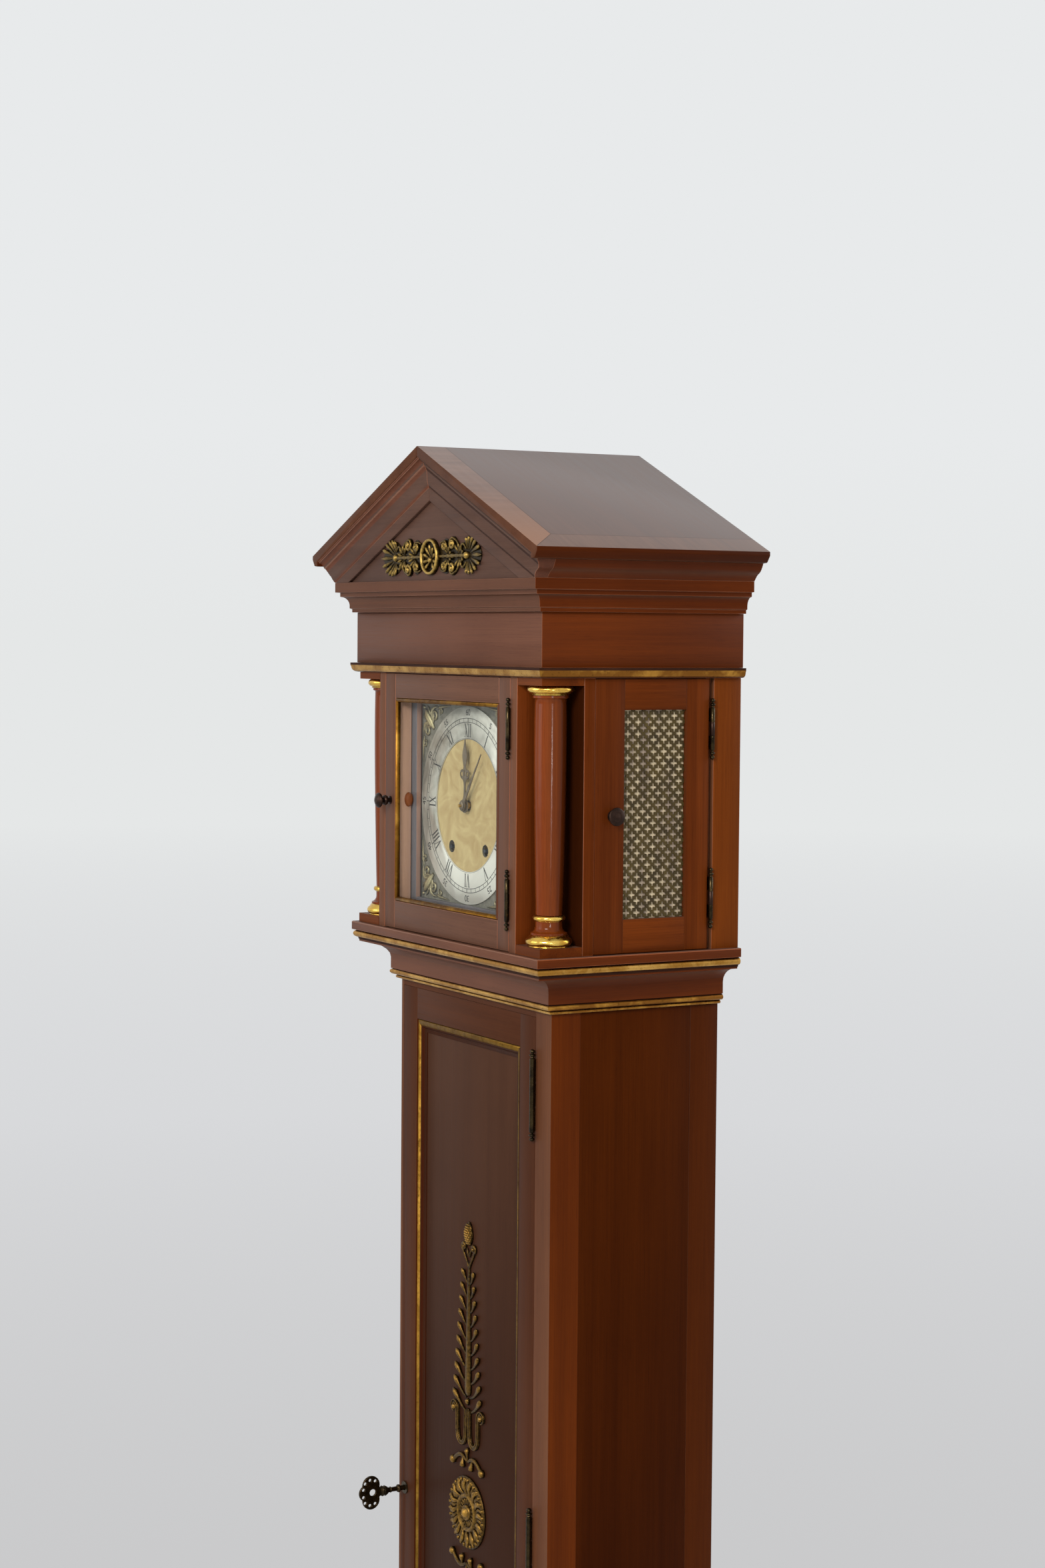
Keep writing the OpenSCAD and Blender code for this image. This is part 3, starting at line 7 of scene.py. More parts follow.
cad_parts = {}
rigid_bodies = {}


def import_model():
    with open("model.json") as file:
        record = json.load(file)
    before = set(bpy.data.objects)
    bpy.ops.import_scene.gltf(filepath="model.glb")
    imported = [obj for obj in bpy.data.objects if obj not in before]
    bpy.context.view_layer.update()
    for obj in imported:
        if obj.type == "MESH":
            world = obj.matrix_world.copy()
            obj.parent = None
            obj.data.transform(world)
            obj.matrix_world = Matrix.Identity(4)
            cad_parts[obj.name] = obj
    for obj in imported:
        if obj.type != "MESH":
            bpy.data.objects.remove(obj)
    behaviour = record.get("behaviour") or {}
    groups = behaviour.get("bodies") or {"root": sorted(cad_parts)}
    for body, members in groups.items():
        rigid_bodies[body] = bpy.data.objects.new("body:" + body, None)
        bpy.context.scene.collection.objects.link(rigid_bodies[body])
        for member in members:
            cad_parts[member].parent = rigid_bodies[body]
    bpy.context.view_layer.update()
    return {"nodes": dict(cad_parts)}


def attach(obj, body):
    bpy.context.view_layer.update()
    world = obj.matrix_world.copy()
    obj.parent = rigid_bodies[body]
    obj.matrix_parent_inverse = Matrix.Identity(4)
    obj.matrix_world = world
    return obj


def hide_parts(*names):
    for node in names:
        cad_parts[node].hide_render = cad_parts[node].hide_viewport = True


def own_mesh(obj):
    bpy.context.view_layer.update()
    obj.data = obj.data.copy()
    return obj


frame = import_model()
nodes = frame["nodes"]
MM = 0.001

# Places that several pieces share, in millimetres in the part's own frame
DIAL_Z = 1824.0
DIAL_Y = -80.3
PLATE_Y = -78.5
PANEL_Y = -64.6
MOUNT_AT = (-14.5, PANEL_Y - 0.1, 986.5)
GABLE_Z = 2110.3
GABLE_Y = -128.4
KEYHOLE = (-166.0, -71.0, 976.0)
TRUNK_FOOT = 373.0
TRUNK_TOP = 1600.0
HOOD_REST = 1648.3
FRIEZE_Z = 1975.4
ROOF_HALF = 277.0
ROOF_FRONT = -149.0


# Colours and node materials


def rgb(r, g, b):
    """A colour written in screen values from 0 to 255, as linear light."""
    out = []
    for v in (r, g, b):
        v = v / 255
        out.append(v / 12.92 if v <= 0.04045 else ((v + 0.055) / 1.055) ** 2.4)
    return (*out, 1.0)


BACKDROP = rgb(232, 234, 235)
HORIZON = rgb(229, 231, 231)
# Wood on faces that look up, with a painted sheen on it
TOP_SHEEN = rgb(96, 66, 52)


class Nodes:
    """Short ways to add nodes to a node tree. An input takes a plain value or another node's output."""

    def __init__(self, tree):
        self.tree = tree
        self.coords = None

    def feed(self, socket, value):
        if isinstance(value, bpy.types.NodeSocket):
            self.tree.links.new(value, socket)
        else:
            socket.default_value = value

    def node(self, kind, inputs=None, **settings):
        made = self.tree.nodes.new(kind)
        for key, value in settings.items():
            setattr(made, key, value)
        for key, value in (inputs or {}).items():
            self.feed(made.inputs[key], value)
        return made

    def place(self, kind="Object"):
        if self.coords is None:
            self.coords = self.node("ShaderNodeTexCoord")
        return self.coords.outputs[kind]

    def axis(self, name, kind="Object"):
        return self.node("ShaderNodeSeparateXYZ", {"Vector": self.place(kind)}).outputs[name]

    def scaled(self, scale, shift=(0, 0, 0)):
        if isinstance(scale, float):
            scale = (scale, scale, scale)
        inputs = {"Scale": scale, "Location": shift, "Vector": self.place()}
        return self.node("ShaderNodeMapping", inputs).outputs["Vector"]

    def noise(self, scale, detail, rough, distortion=0.0):
        inputs = {"Vector": self.scaled(scale), "Scale": 1.0, "Detail": detail, "Roughness": rough}
        inputs["Distortion"] = distortion
        return self.node("ShaderNodeTexNoise", inputs).outputs["Fac"]

    def cells(self, scale):
        return self.node("ShaderNodeTexVoronoi", {"Scale": scale, "Vector": self.place()}).outputs["Distance"]

    def ramp(self, fac, *stops):
        r = self.node("ShaderNodeValToRGB", {"Fac": fac})
        points = r.color_ramp.elements
        while len(points) < len(stops):
            points.new(0.5)
        for p, (at, colour) in zip(points, stops):
            p.position = at
            p.color = colour
        return r.outputs["Color"]

    def grey(self, fac, a, b, low=0.0, high=1.0):
        """fac, spread from a..b to low..high."""
        inputs = {"Value": fac, "From Min": a, "From Max": b, "To Min": low, "To Max": high}
        return self.node("ShaderNodeMapRange", inputs).outputs["Result"]

    def math(self, op, a, b=None):
        inputs = {0: a} if b is None else {0: a, 1: b}
        return self.node("ShaderNodeMath", inputs, operation=op).outputs["Value"]

    def times(self, a, b):
        return self.math("MULTIPLY", a, b)

    def mix(self, fac, a, b, blend="MIX"):
        inputs = {0: fac, 6: a, 7: b}
        return self.node("ShaderNodeMix", inputs, data_type="RGBA", blend_type=blend).outputs[2]

    def blend(self, fac, a, b):
        """Shader a, and b by the share fac."""
        return self.node("ShaderNodeMixShader", {0: fac, 1: a, 2: b}).outputs["Shader"]


class Shader(Nodes):
    """A node material with one Principled shader."""

    def __init__(self, name, roughness=0.4, metallic=0.0):
        self.mat = bpy.data.materials.new(name)
        self.mat.use_nodes = True
        super().__init__(self.mat.node_tree)
        self.main = self.tree.nodes["Principled BSDF"]
        self.put("Roughness", roughness)
        self.put("Metallic", metallic)

    def put(self, name, value):
        self.feed(self.main.inputs[name], value)

    def surface(self, shader):
        self.feed(self.tree.nodes["Material Output"].inputs["Surface"], shader)

    def bump(self, height, strength, distance):
        inputs = {"Strength": strength, "Distance": distance, "Height": height}
        self.put("Normal", self.node("ShaderNodeBump", inputs).outputs["Normal"])


def stretch(grain, across, along):
    """Scale of a pattern across the grain and along it."""
    length = 3.0 if grain == "Z" else 4.0
    return tuple(length * along if axis == grain else 95.0 * across for axis in "XYZ")


def wood(name, front, side, grain, top=None, roughness=0.42, shine=0.12, streak=1.0, foot_shade=1.0, back=1.0):
    """Polished mahogany. front, side and top are its colours on faces that look forward, sideways and up. The
    front and top colours carry a painted milky reflection of the polish; the side colour is the plain wood.
    The last two arguments are painted shade: one darkens it low on the trunk, the other darkens the rear of a
    turned part."""
    s = Shader(name, roughness)
    # Painted reflection: faces that look forward and up get lighter, greyer colours than faces that look
    # sideways
    normal_x = s.math("ABSOLUTE", s.axis("X", "Normal"))
    colour = s.mix(s.grey(normal_x, 0.45, 0.8), front, side)
    if top is not None:
        colour = s.mix(s.grey(s.axis("Z", "Normal"), 0.5, 0.9), colour, top)
    broad = s.noise(stretch(grain, 0.35, 0.35), 3.0, 0.5, 0.5)
    fine = s.noise(stretch(grain, 6.0, 2.2), 4.0, 0.62)
    pores = s.noise(stretch(grain, 16.0, 12.0), 2.0, 0.6)
    cloudy = s.noise((7.0, 7.0, 5.0), 2.0, 0.5)
    shade = s.grey(broad, 0.3, 0.7, 1 - 0.16 * streak, 1 + 0.14 * streak)
    shade = s.times(shade, s.grey(fine, 0.3, 0.7, 1 - 0.12 * streak, 1 + 0.1 * streak))
    shade = s.times(shade, s.grey(pores, 0.28, 0.42, 0.8, 1.0))
    shade = s.times(shade, s.grey(cloudy, 0.3, 0.7, 0.93, 1.07))
    # Painted shade: darker towards the foot of the trunk
    if foot_shade != 1.0:
        shade = s.times(shade, s.grey(s.axis("Z"), 0.95, 1.5, foot_shade, 1.03))
    # Painted shade: darker on the rear of a turned part, away from the light
    if back != 1.0:
        shade = s.times(shade, s.grey(s.axis("Y", "Normal"), -0.1, 0.75, 1.0, back))
    dark = s.mix(1.0, colour, (0.55, 0.46, 0.42, 1.0), "MULTIPLY")
    light = s.mix(1.0, colour, (1.42, 1.36, 1.3, 1.0), "MULTIPLY")
    s.put("Base Color", s.mix(s.grey(shade, 0.6, 1.4), dark, light))
    s.put("Roughness", s.grey(fine, 0.3, 0.75, roughness - 0.05, roughness + 0.09))
    s.put("Specular IOR Level", shine)
    s.bump(pores, 0.12, 0.00015)
    return s.mat


def boards(name, front, side, shine, streak=1.0, top=TOP_SHEEN, roughness=0.42):
    """One wood for each direction of the grain, in the order X, Y and Z."""
    return [wood(name + "_" + axis.lower(), front, side, axis, top, roughness, shine, streak)
            for axis in "XYZ"]


# Front colours carry a painted milky reflection of the polish; side colours are the plain wood
FRONT_BOARDS = boards("mahogany_front", rgb(95, 62, 47), rgb(88, 38, 4), 0.1)
CORNICE_BOARDS = boards("mahogany_cornice", rgb(88, 58, 43), rgb(82, 34, 3), 0.07)
DOOR_BOARDS = boards("mahogany_door", rgb(92, 64, 50), rgb(88, 38, 4), 0.1)
TRUNK_BOARDS = boards("mahogany_trunk", rgb(70, 40, 24), rgb(70, 28, 4), 0.04)
SIDE_BOARDS = boards("mahogany_side", rgb(92, 48, 22), rgb(92, 42, 9), 0.05, 1.5)
DARK_BOARDS = boards("stained", rgb(48, 28, 20), rgb(50, 28, 18), 0.05, 1.0, None, 0.5)
OAK_BOARDS = boards("oak", rgb(118, 84, 54), rgb(118, 84, 54), 0.2, 1.0, None, 0.55)
GABLE = wood("mahogany_gable_x", rgb(81, 60, 51), rgb(84, 36, 4), "X", TOP_SHEEN, 0.42, 0.07)
ROOF_LIP = wood("mahogany_roof_edge_y", rgb(80, 50, 34), rgb(66, 27, 4), "Y", TOP_SHEEN, 0.42, 0.05)
# Painted shade: the front face of the wall behind the column is dark
NOTCH_SHADE = wood("mahogany_notch", rgb(48, 20, 5), rgb(92, 42, 10), "Z", TOP_SHEEN, 0.42, 0.03)
POST = wood("mahogany_hood_post", rgb(104, 70, 52), rgb(98, 46, 13), "Z", TOP_SHEEN, 0.42, 0.06)
# Painted sheen on the cove of the rake, and painted shade on its undersides
RAKE_COVE_SHEEN = wood("mahogany_rake_cove", rgb(92, 56, 41), rgb(92, 56, 41), "X", TOP_SHEEN, 0.36, 0.08)
RAKE_SHADE = wood("mahogany_rake_shade", rgb(58, 38, 30), rgb(58, 38, 30), "X", TOP_SHEEN, 0.42, 0.04)
# Painted light: pale wood where light through the glass falls on the rebate
REBATE_LIT = wood("mahogany_rebate", rgb(184, 152, 134), rgb(186, 154, 136), "Z", TOP_SHEEN, 0.5, 0.05, 0.4)
# Painted reflection: the dial surround behind the glass is grey with the glare of the pane
MASK_GLARE = wood("dial_mask_grey", rgb(106, 106, 112), rgb(146, 118, 106), "Z", None, 0.5, 0.05, 0.4)
# Softened arrises: light wear, with a painted highlight along them
WORN_AND_LIT_EDGE = wood("mahogany_worn_edge", rgb(126, 94, 78), rgb(140, 76, 42), "X", rgb(140, 100, 82),
                 0.36, 0.1, 0.5)
CORNER = wood("mahogany_corner", rgb(92, 58, 38), rgb(86, 37, 3), "Z", TOP_SHEEN, 0.38, 0.06)
TRUNK_REAR = wood("mahogany_rear_post", rgb(92, 58, 38), rgb(70, 30, 4), "Z", TOP_SHEEN, 0.38, 0.05)
HOOD_REAR = wood("mahogany_hood_rear", rgb(92, 58, 38), rgb(106, 52, 12), "Z", TOP_SHEEN, 0.38, 0.05)
# The trunk's panel and flanks get painted shade towards the foot
PANEL = wood("mahogany_panel", rgb(68, 44, 31), rgb(60, 26, 8), "Z", TOP_SHEEN, 0.42, 0.04, 0.6, 0.4)
FLANK = wood("mahogany_flank", rgb(92, 58, 38), rgb(66, 27, 2), "Z", TOP_SHEEN, 0.38, 0.03, 1.0, 0.68)
# The column gets painted shade on its rear
COLUMN = wood("mahogany_column", rgb(106, 48, 15), rgb(103, 49, 17), "Z", None, 0.14, 0.12, 1.3, 1.0, 0.36)
CATCH = wood("catch_boss", rgb(126, 72, 42), rgb(126, 72, 42), "Z", None, 0.4, 0.1, 0.4)
COVE_STRIP = wood("mahogany_cove_strip", rgb(52, 26, 12), rgb(58, 22, 6), "Z", TOP_SHEEN, 0.4, 0.04, 0.6)


def roof_wood():
    """Roof veneer: a cross-banded border along the gable and the eave, mitred at the corner."""
    border = 0.036
    down_the_slope = 1.0898
    s = Shader("mahogany_roof", 0.36)
    x = s.math("ABSOLUTE", s.axis("X"))
    from_eave = s.times(s.math("SUBTRACT", ROOF_HALF * MM, x), down_the_slope)
    from_front = s.math("ADD", s.axis("Y"), -ROOF_FRONT * MM)
    near = s.math("MINIMUM", from_eave, from_front)
    band = s.math("LESS_THAN", near, border)
    side_band = s.times(band, s.math("LESS_THAN", from_eave, from_front))
    across = s.noise((140.0, 10.0, 140.0), 4.0, 0.6)
    along = s.noise((10.0, 140.0, 10.0), 4.0, 0.6)
    # The field and border colours are the veneer with a painted sheen on it
    field = s.ramp(along, (0.3, rgb(95, 75, 68)), (0.7, rgb(106, 84, 76)))
    front = s.ramp(across, (0.3, rgb(108, 82, 70)), (0.7, rgb(126, 96, 82)))
    front = s.mix(s.grey(x, 0.12, 0.25), front, rgb(138, 99, 76))
    eave = s.ramp(along, (0.3, rgb(100, 76, 66)), (0.7, rgb(116, 90, 78)))
    colour = s.mix(band, field, s.mix(side_band, front, eave))
    joint = s.math("LESS_THAN", s.math("ABSOLUTE", s.math("SUBTRACT", near, border)), 0.0005)
    mitre = s.math("LESS_THAN", s.math("ABSOLUTE", s.math("SUBTRACT", from_eave, from_front)), 0.0006)
    lines = s.math("MAXIMUM", joint, s.times(band, mitre))
    s.put("Base Color", s.mix(lines, colour, rgb(74, 48, 38)))
    s.put("Roughness", s.grey(along, 0.3, 0.7, 0.36, 0.42))
    s.put("Coat Weight", 0.12)
    s.put("Coat Roughness", 0.25)
    s.bump(across, 0.08, 0.0002)
    return s.mat


def gilt(name, bright, worn, dark, wear, roughness):
    """Gilt brass whose lacquer has gone brown in patches."""
    s = Shader(name, roughness, 1.0)
    patches = s.noise(30.0, 4.0, 0.6, 0.4)
    small = s.noise(260.0, 3.0, 0.6)
    colour = s.ramp(patches, (0.36, bright), (0.38 + 0.3 * wear, worn))
    colour = s.mix(s.grey(small, 0.58, 0.74, 0.0, 0.65), colour, dark)
    colour = s.mix(s.grey(s.cells(420.0), 0.0, 0.16, 0.5, 0.0), colour, dark)
    s.put("Base Color", colour)
    s.put("Roughness", s.grey(small, 0.3, 0.75, roughness - 0.08, roughness + 0.2))
    s.bump(small, 0.15, 0.0002)
    return s.mat


GILT = gilt("gilt_brass", rgb(206, 160, 84), rgb(164, 116, 48), rgb(74, 44, 18), 0.6, 0.3)
GILT_DULL = gilt("gilt_worn", rgb(156, 114, 46), rgb(116, 78, 26), rgb(58, 34, 14), 0.4, 0.42)
GILT_TRUNK = gilt("gilt_panel_bead", rgb(146, 110, 44), rgb(112, 80, 28), rgb(50, 32, 13), 0.6, 0.5)
GILT_PATCHY = gilt("gilt_patchy", rgb(190, 138, 58), rgb(136, 88, 34), rgb(66, 38, 15), 0.5, 0.36)
GILT_BRIGHT = gilt("gilt_polished", rgb(238, 200, 100), rgb(206, 156, 60), rgb(96, 58, 22), 0.8, 0.18)


def antique(name, y_back, height, bright, dark, roughness=0.34):
    """Gilt relief that stands on a panel: dark in the recesses with patina and painted shade, worn bright on
    the tips.
    """
    s = Shader(name, roughness, 0.92)
    rise = s.math("DIVIDE", s.math("SUBTRACT", y_back * MM, s.axis("Y")), height * MM)
    small = s.noise(300.0, 4.0, 0.62)
    rise = s.math("ADD", rise, s.grey(small, 0.2, 0.8, -0.28, 0.28))
    middle = tuple(0.32 * a + 0.68 * b for a, b in zip(bright, dark))
    # Patina and painted shade darken the relief towards its ground
    s.put("Base Color", s.ramp(rise, (0.2, dark), (0.62, middle), (1.0, bright)))
    s.put("Roughness", s.grey(small, 0.3, 0.75, roughness - 0.1, roughness + 0.22))
    s.bump(small, 0.35, 0.0003)
    return s.mat


MOUNT = antique("antique_gilt_trunk", PANEL_Y, 7.5, rgb(172, 130, 58), rgb(40, 27, 10))
MOUNT_GABLE = antique("antique_gilt_gable", GABLE_Y, 6.2, rgb(186, 152, 78), rgb(40, 30, 14))
SPANDREL = antique("dial_spandrel_gilt", PLATE_Y, 2.4, rgb(196, 184, 142), rgb(112, 106, 88), 0.45)


def metal(name, light, dark, roughness, metallic=0.9, scale=90.0):
    s = Shader(name, roughness, metallic)
    fine = s.noise(scale * 9, 3.0, 0.6)
    s.put("Base Color", s.ramp(s.noise(scale, 4.0, 0.6), (0.32, dark), (0.68, light)))
    s.put("Roughness", s.grey(fine, 0.25, 0.75, roughness - 0.09, roughness + 0.14))
    s.bump(fine, 0.1, 0.0001)
    return s.mat


BRONZE = metal("dark_bronze", rgb(96, 80, 54), rgb(48, 38, 26), 0.3)
HINGE = metal("hinge_bronze", rgb(62, 50, 28), rgb(24, 18, 10), 0.2)
KEY_BRONZE = metal("key_bronze", rgb(66, 50, 28), rgb(34, 26, 14), 0.3)
KNOB = metal("knob_bronze", rgb(60, 42, 34), rgb(30, 20, 15), 0.36)
DARK_STEEL = metal("dark_steel", rgb(82, 84, 90), rgb(56, 58, 64), 0.5)
BRASS = metal("movement_brass", rgb(206, 172, 98), rgb(168, 132, 66), 0.3)
STEEL = metal("blued_steel", rgb(122, 122, 128), rgb(72, 72, 80), 0.28)
HAND = metal("hand_bronze", rgb(126, 112, 92), rgb(90, 78, 62), 0.5, 0.5)
GRILLE = metal("grille_brass", rgb(82, 66, 26), rgb(52, 40, 16), 0.46, 0.5, 60.0)
GROUND = metal("dial_ground", rgb(142, 138, 124), rgb(104, 101, 90), 0.55, 0.5, 160.0)


def silvered():
    """Silvered brass with the arcs of its hand polishing, and painted light that makes it brighter to the
    right and below.
    """
    s = Shader("silvered_brass", 0.4, 0.6)
    centre = DIAL_Z * MM
    waves = {"Scale": 26.0, "Distortion": 9.0, "Detail": 3.0, "Detail Scale": 1.6}
    waves["Vector"] = s.scaled(1.0, (0.0, 0.0, -centre))
    arcs = s.node("ShaderNodeTexWave", waves, wave_type="RINGS", rings_direction="Y").outputs["Fac"]
    blotch = s.noise(16.0, 4.0, 0.6, 1.4)
    tone = s.math("ADD", s.grey(arcs, 0, 1, 0.0, 0.14), s.grey(blotch, 0.3, 0.7, 0.0, 0.45))
    # Painted light: brighter to the right and below
    tone = s.math("ADD", tone, s.grey(s.axis("X"), -0.115, 0.08, -0.12, 0.45))
    tone = s.math("ADD", tone, s.grey(s.axis("Z"), centre + 0.03, centre - 0.09, -0.05, 0.62))
    colours = ((0.05, rgb(150, 146, 132)), (0.45, rgb(200, 197, 184)), (0.9, rgb(236, 233, 220)))
    s.put("Base Color", s.ramp(tone, *colours))
    s.put("Roughness", s.grey(blotch, 0.3, 0.7, 0.3, 0.5))
    s.bump(s.noise((420.0, 1.0, 60.0), 3.0, 0.6), 0.08, 0.0001)
    return s.mat


def matt(name, light, dark, roughness, scale, warp=0.0, shine=0.5):
    """A dull surface with fine dots."""
    s = Shader(name, roughness)
    dots = s.cells(1800.0)
    patches = s.ramp(s.noise(scale, 4.0, 0.6, warp), (0.3, dark), (0.7, light))
    s.put("Base Color", s.mix(s.grey(dots, 0.1, 0.7, 0.25, 0.0), patches, dark))
    s.put("Specular IOR Level", shine)
    s.bump(dots, 0.3, 0.0002)
    return s.mat


SAND = matt("dial_matting", rgb(196, 176, 128), rgb(168, 142, 96), 0.85, 30.0, 2.2, 0.15)
WAX = matt("black_wax", rgb(34, 32, 30), rgb(22, 20, 20), 0.6, 300.0)
GUT = matt("gut_line", rgb(176, 140, 90), rgb(128, 94, 54), 0.5, 900.0)


def weave():
    """Silk behind the grilles, cream with faded patches."""
    s = Shader("grille_silk", 0.85)
    patches = s.noise((1.0, 70.0, 7.0), 3.0, 0.55)
    threads = []
    for direction in "ZY":
        wave = s.node("ShaderNodeTexWave", {"Scale": 380.0, "Vector": s.place()}, bands_direction=direction)
        threads.append(wave.outputs["Fac"])
    crossed = s.times(*threads)
    base = s.ramp(patches, (0.4, rgb(168, 149, 132)), (0.56, rgb(226, 206, 170)))
    s.put("Base Color", s.mix(s.grey(crossed, 0.0, 0.6, 0.22, 0.0), base, rgb(140, 116, 88)))
    s.put("Sheen Weight", 0.3)
    s.bump(crossed, 0.4, 0.0002)
    return s.mat


def clear_glass():
    """A thin clear pane. What stands behind shows through it, under a faint film of reflection."""
    s = Shader("window_glass", 0.03)
    s.put("Base Color", (0.96, 0.975, 0.97, 1.0))
    s.put("Transmission Weight", 1.0)
    s.put("IOR", 1.45)
    through = s.node("ShaderNodeBsdfTransparent", {"Color": (0.965, 0.975, 0.97, 1.0)})
    film = s.node("ShaderNodeBsdfAnisotropic", {"Roughness": 0.03})
    slant = s.node("ShaderNodeLayerWeight", {"Blend": 0.5})
    rise = s.times(s.math("POWER", slant.outputs["Facing"], 5.0), 0.4)
    pane = s.blend(s.math("ADD", rise, 0.01), through.outputs["BSDF"], film.outputs["BSDF"])
    s.surface(s.blend(0.0, pane, s.main.outputs["BSDF"]))
    return s.mat


SILVER = silvered()
SILK = weave()
GLASS = clear_glass()
ROOF = roof_wood()


# Mesh building. All shapes are drawn in millimetres.


def body_of(node):
    return nodes[node].parent.name.split(":", 1)[1]


def finish_mesh(name, bm, mats, body, stands_for=(), smooth=38, scale=MM):
    """Turn bm into a piece of the scene that rides on body."""
    bmesh.ops.scale(bm, vec=(scale,) * 3, verts=bm.verts)
    bmesh.ops.recalc_face_normals(bm, faces=bm.faces)
    mesh = bpy.data.meshes.new(name)
    bm.to_mesh(mesh)
    bm.free()
    for m in mats:
        mesh.materials.append(m)
    for p in mesh.polygons:
        p.use_smooth = True
    mesh.set_sharp_from_angle(angle=math.radians(smooth))
    obj = bpy.data.objects.new(name, mesh)
    bpy.context.scene.collection.objects.link(obj)
    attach(obj, body)
    if stands_for:
        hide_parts(*stands_for)
    return obj


def islands(bm):
    """Connected parts of bm, each as a list of faces."""
    left = set(bm.faces)
    found = []
    while left:
        stack = [left.pop()]
        part = list(stack)
        while stack:
            for e in stack.pop().edges:
                for f in e.link_faces:
                    if f in left:
                        left.remove(f)
                        part.append(f)
                        stack.append(f)
        found.append(part)
    return found


def dress(node, name, mats, pick=None, bevel=0.0, smooth=38, sharp=30, top=0, paint=None, edge=-1):
    """A solid's shape as a piece with softened edges. pick names the material of each
    separate part of it from the part's low corner and its size, both in millimetres, top
    that of the faces that look up, paint that of a face from its middle and its normal,
    and edge that of the softened edges."""
    bm = bmesh.new()
    bm.from_mesh(nodes[node].data)
    bmesh.ops.remove_doubles(bm, verts=bm.verts, dist=1e-6)
    bmesh.ops.dissolve_limit(bm, angle_limit=math.radians(0.3), verts=bm.verts, edges=bm.edges)
    if pick:
        for part in islands(bm):
            points = [v.co / MM for f in part for v in f.verts]
            low = Vector([min(p[i] for p in points) for i in range(3)])
            high = Vector([max(p[i] for p in points) for i in range(3)])
            index = pick(low, high - low)
            for f in part:
                f.material_index = index
    for f in bm.faces:
        if top and f.normal.z > 0.7:
            f.material_index = top
        if paint:
            f.material_index = paint(f.calc_center_median() / MM, f.normal)
    if bevel:
        fold = math.radians(sharp)
        edges = [e for e in bm.edges if len(e.link_faces) == 2 and e.calc_face_angle(0) > fold]
        bmesh.ops.bevel(bm, geom=edges, offset=bevel * MM, offset_type="OFFSET", segments=2, profile=0.5,
                        affect="EDGES", clamp_overlap=True, material=edge)
    return finish_mesh(name, bm, mats, body_of(node), (node,), smooth, 1)


def loft(bm, rings, closed=True, cap=True):
    """Skin between rings of points."""
    rows = [[bm.verts.new(p) for p in ring] for ring in rings]
    n = len(rows[0])
    for a, b in zip(rows, rows[1:]):
        for i in range(n if closed else n - 1):
            j = (i + 1) % n
            bm.faces.new((a[i], a[j], b[j], b[i]))
    if cap:
        bm.faces.new(rows[0])
        bm.faces.new(rows[-1])


def weld(bm, distance):
    bmesh.ops.remove_doubles(bm, verts=bm.verts, dist=distance)


def steps(n):
    """n + 1 even shares from 0 to 1."""
    return [i / n for i in range(n + 1)]


def turns(n):
    """n even angles round a circle."""
    return [2 * math.pi * k / n for k in range(n)]


def turn_to(axis, degrees):
    return Matrix.Rotation(math.radians(degrees), 4, axis)


def facing(x, y, z):
    """Placement of a turned form that looks forward from x, y, z."""
    return Matrix.Translation((x, y, z)) @ turn_to("X", 90)


def lathe(bm, profile, place, sides):
    """Turned form. profile is [radius, along] and place maps its own Z axis into the frame."""
    rings = []
    for r, z in profile:
        r = max(r, 0.01)
        rings.append([place @ Vector((r * math.cos(a), r * math.sin(a), z)) for a in turns(sides)])
    loft(bm, rings)


def spiral(cx, cz, r0, r1, a0, a1, n):
    points = []
    for q in steps(n):
        r = r0 + (r1 - r0) * q
        a = math.radians(a0 + (a1 - a0) * q)
        points.append((cx + r * math.cos(a), cz + r * math.sin(a)))
    return points


def arc(cx, cz, rx, rz, a0, a1, n):
    angles = [math.radians(a0 + (a1 - a0) * q) for q in steps(n)]
    return [(cx + rx * math.cos(a), cz + rz * math.sin(a)) for a in angles]


def circle(cx, cz, r, n, rz=None):
    """Closed outline of a circle, or of an ellipse with the half height rz."""
    return arc(cx, cz, r, rz or r, 0, 360 - 360 / n, n - 1)


def mirrored(points):
    return [(-x, z) for x, z in reversed(points)]


def fade(n, a, b, c):
    """n values from a over b to c."""
    half = (n - 1) / 2
    return [a + (b - a) * i / half if i <= half else b + (c - b) * (i - half) / half for i in range(n)]


def prism(bm, outline, y0, y1):
    """A flat plate from an outline in X and Z, between two planes of Y."""
    loft(bm, [[(x, y, z) for x, z in outline] for y in (y0, y1)])


def mesh_of(curve, place):
    """The curve as a mesh, moved to its place."""
    holder = bpy.data.objects.new("outline", curve)
    bpy.context.scene.collection.objects.link(holder)
    bpy.context.view_layer.update()
    mesh = bpy.data.meshes.new_from_object(holder.evaluated_get(bpy.context.evaluated_depsgraph_get()))
    bpy.data.objects.remove(holder)
    mesh.transform(place)
    return mesh


def filled(outlines, depth, place, bevel=0.0):
    """A plate from closed outlines in its own XY plane. An outline inside another is a hole."""
    curve = bpy.data.curves.new("outline", "CURVE")
    curve.dimensions = "2D"
    curve.fill_mode = "BOTH"
    curve.extrude = (depth / 2 - bevel) * MM
    curve.bevel_depth = bevel * MM
    curve.bevel_resolution = 1 if bevel else 0
    curve.offset = -bevel * MM
    for points in outlines:
        spline = curve.splines.new("POLY")
        spline.points.add(len(points) - 1)
        for p, (u, v) in zip(spline.points, points):
            p.co = (u * MM, v * MM, 0, 1)
        spline.use_cyclic_u = True
    mesh = mesh_of(curve, place @ Matrix.Scale(1 / MM, 4))
    bm = bmesh.new()
    bm.from_mesh(mesh)
    bpy.data.meshes.remove(mesh)
    for f in bm.faces:
        f.material_index = 0
    return bm


# Case and hood: boards with softened edges and grain along each board


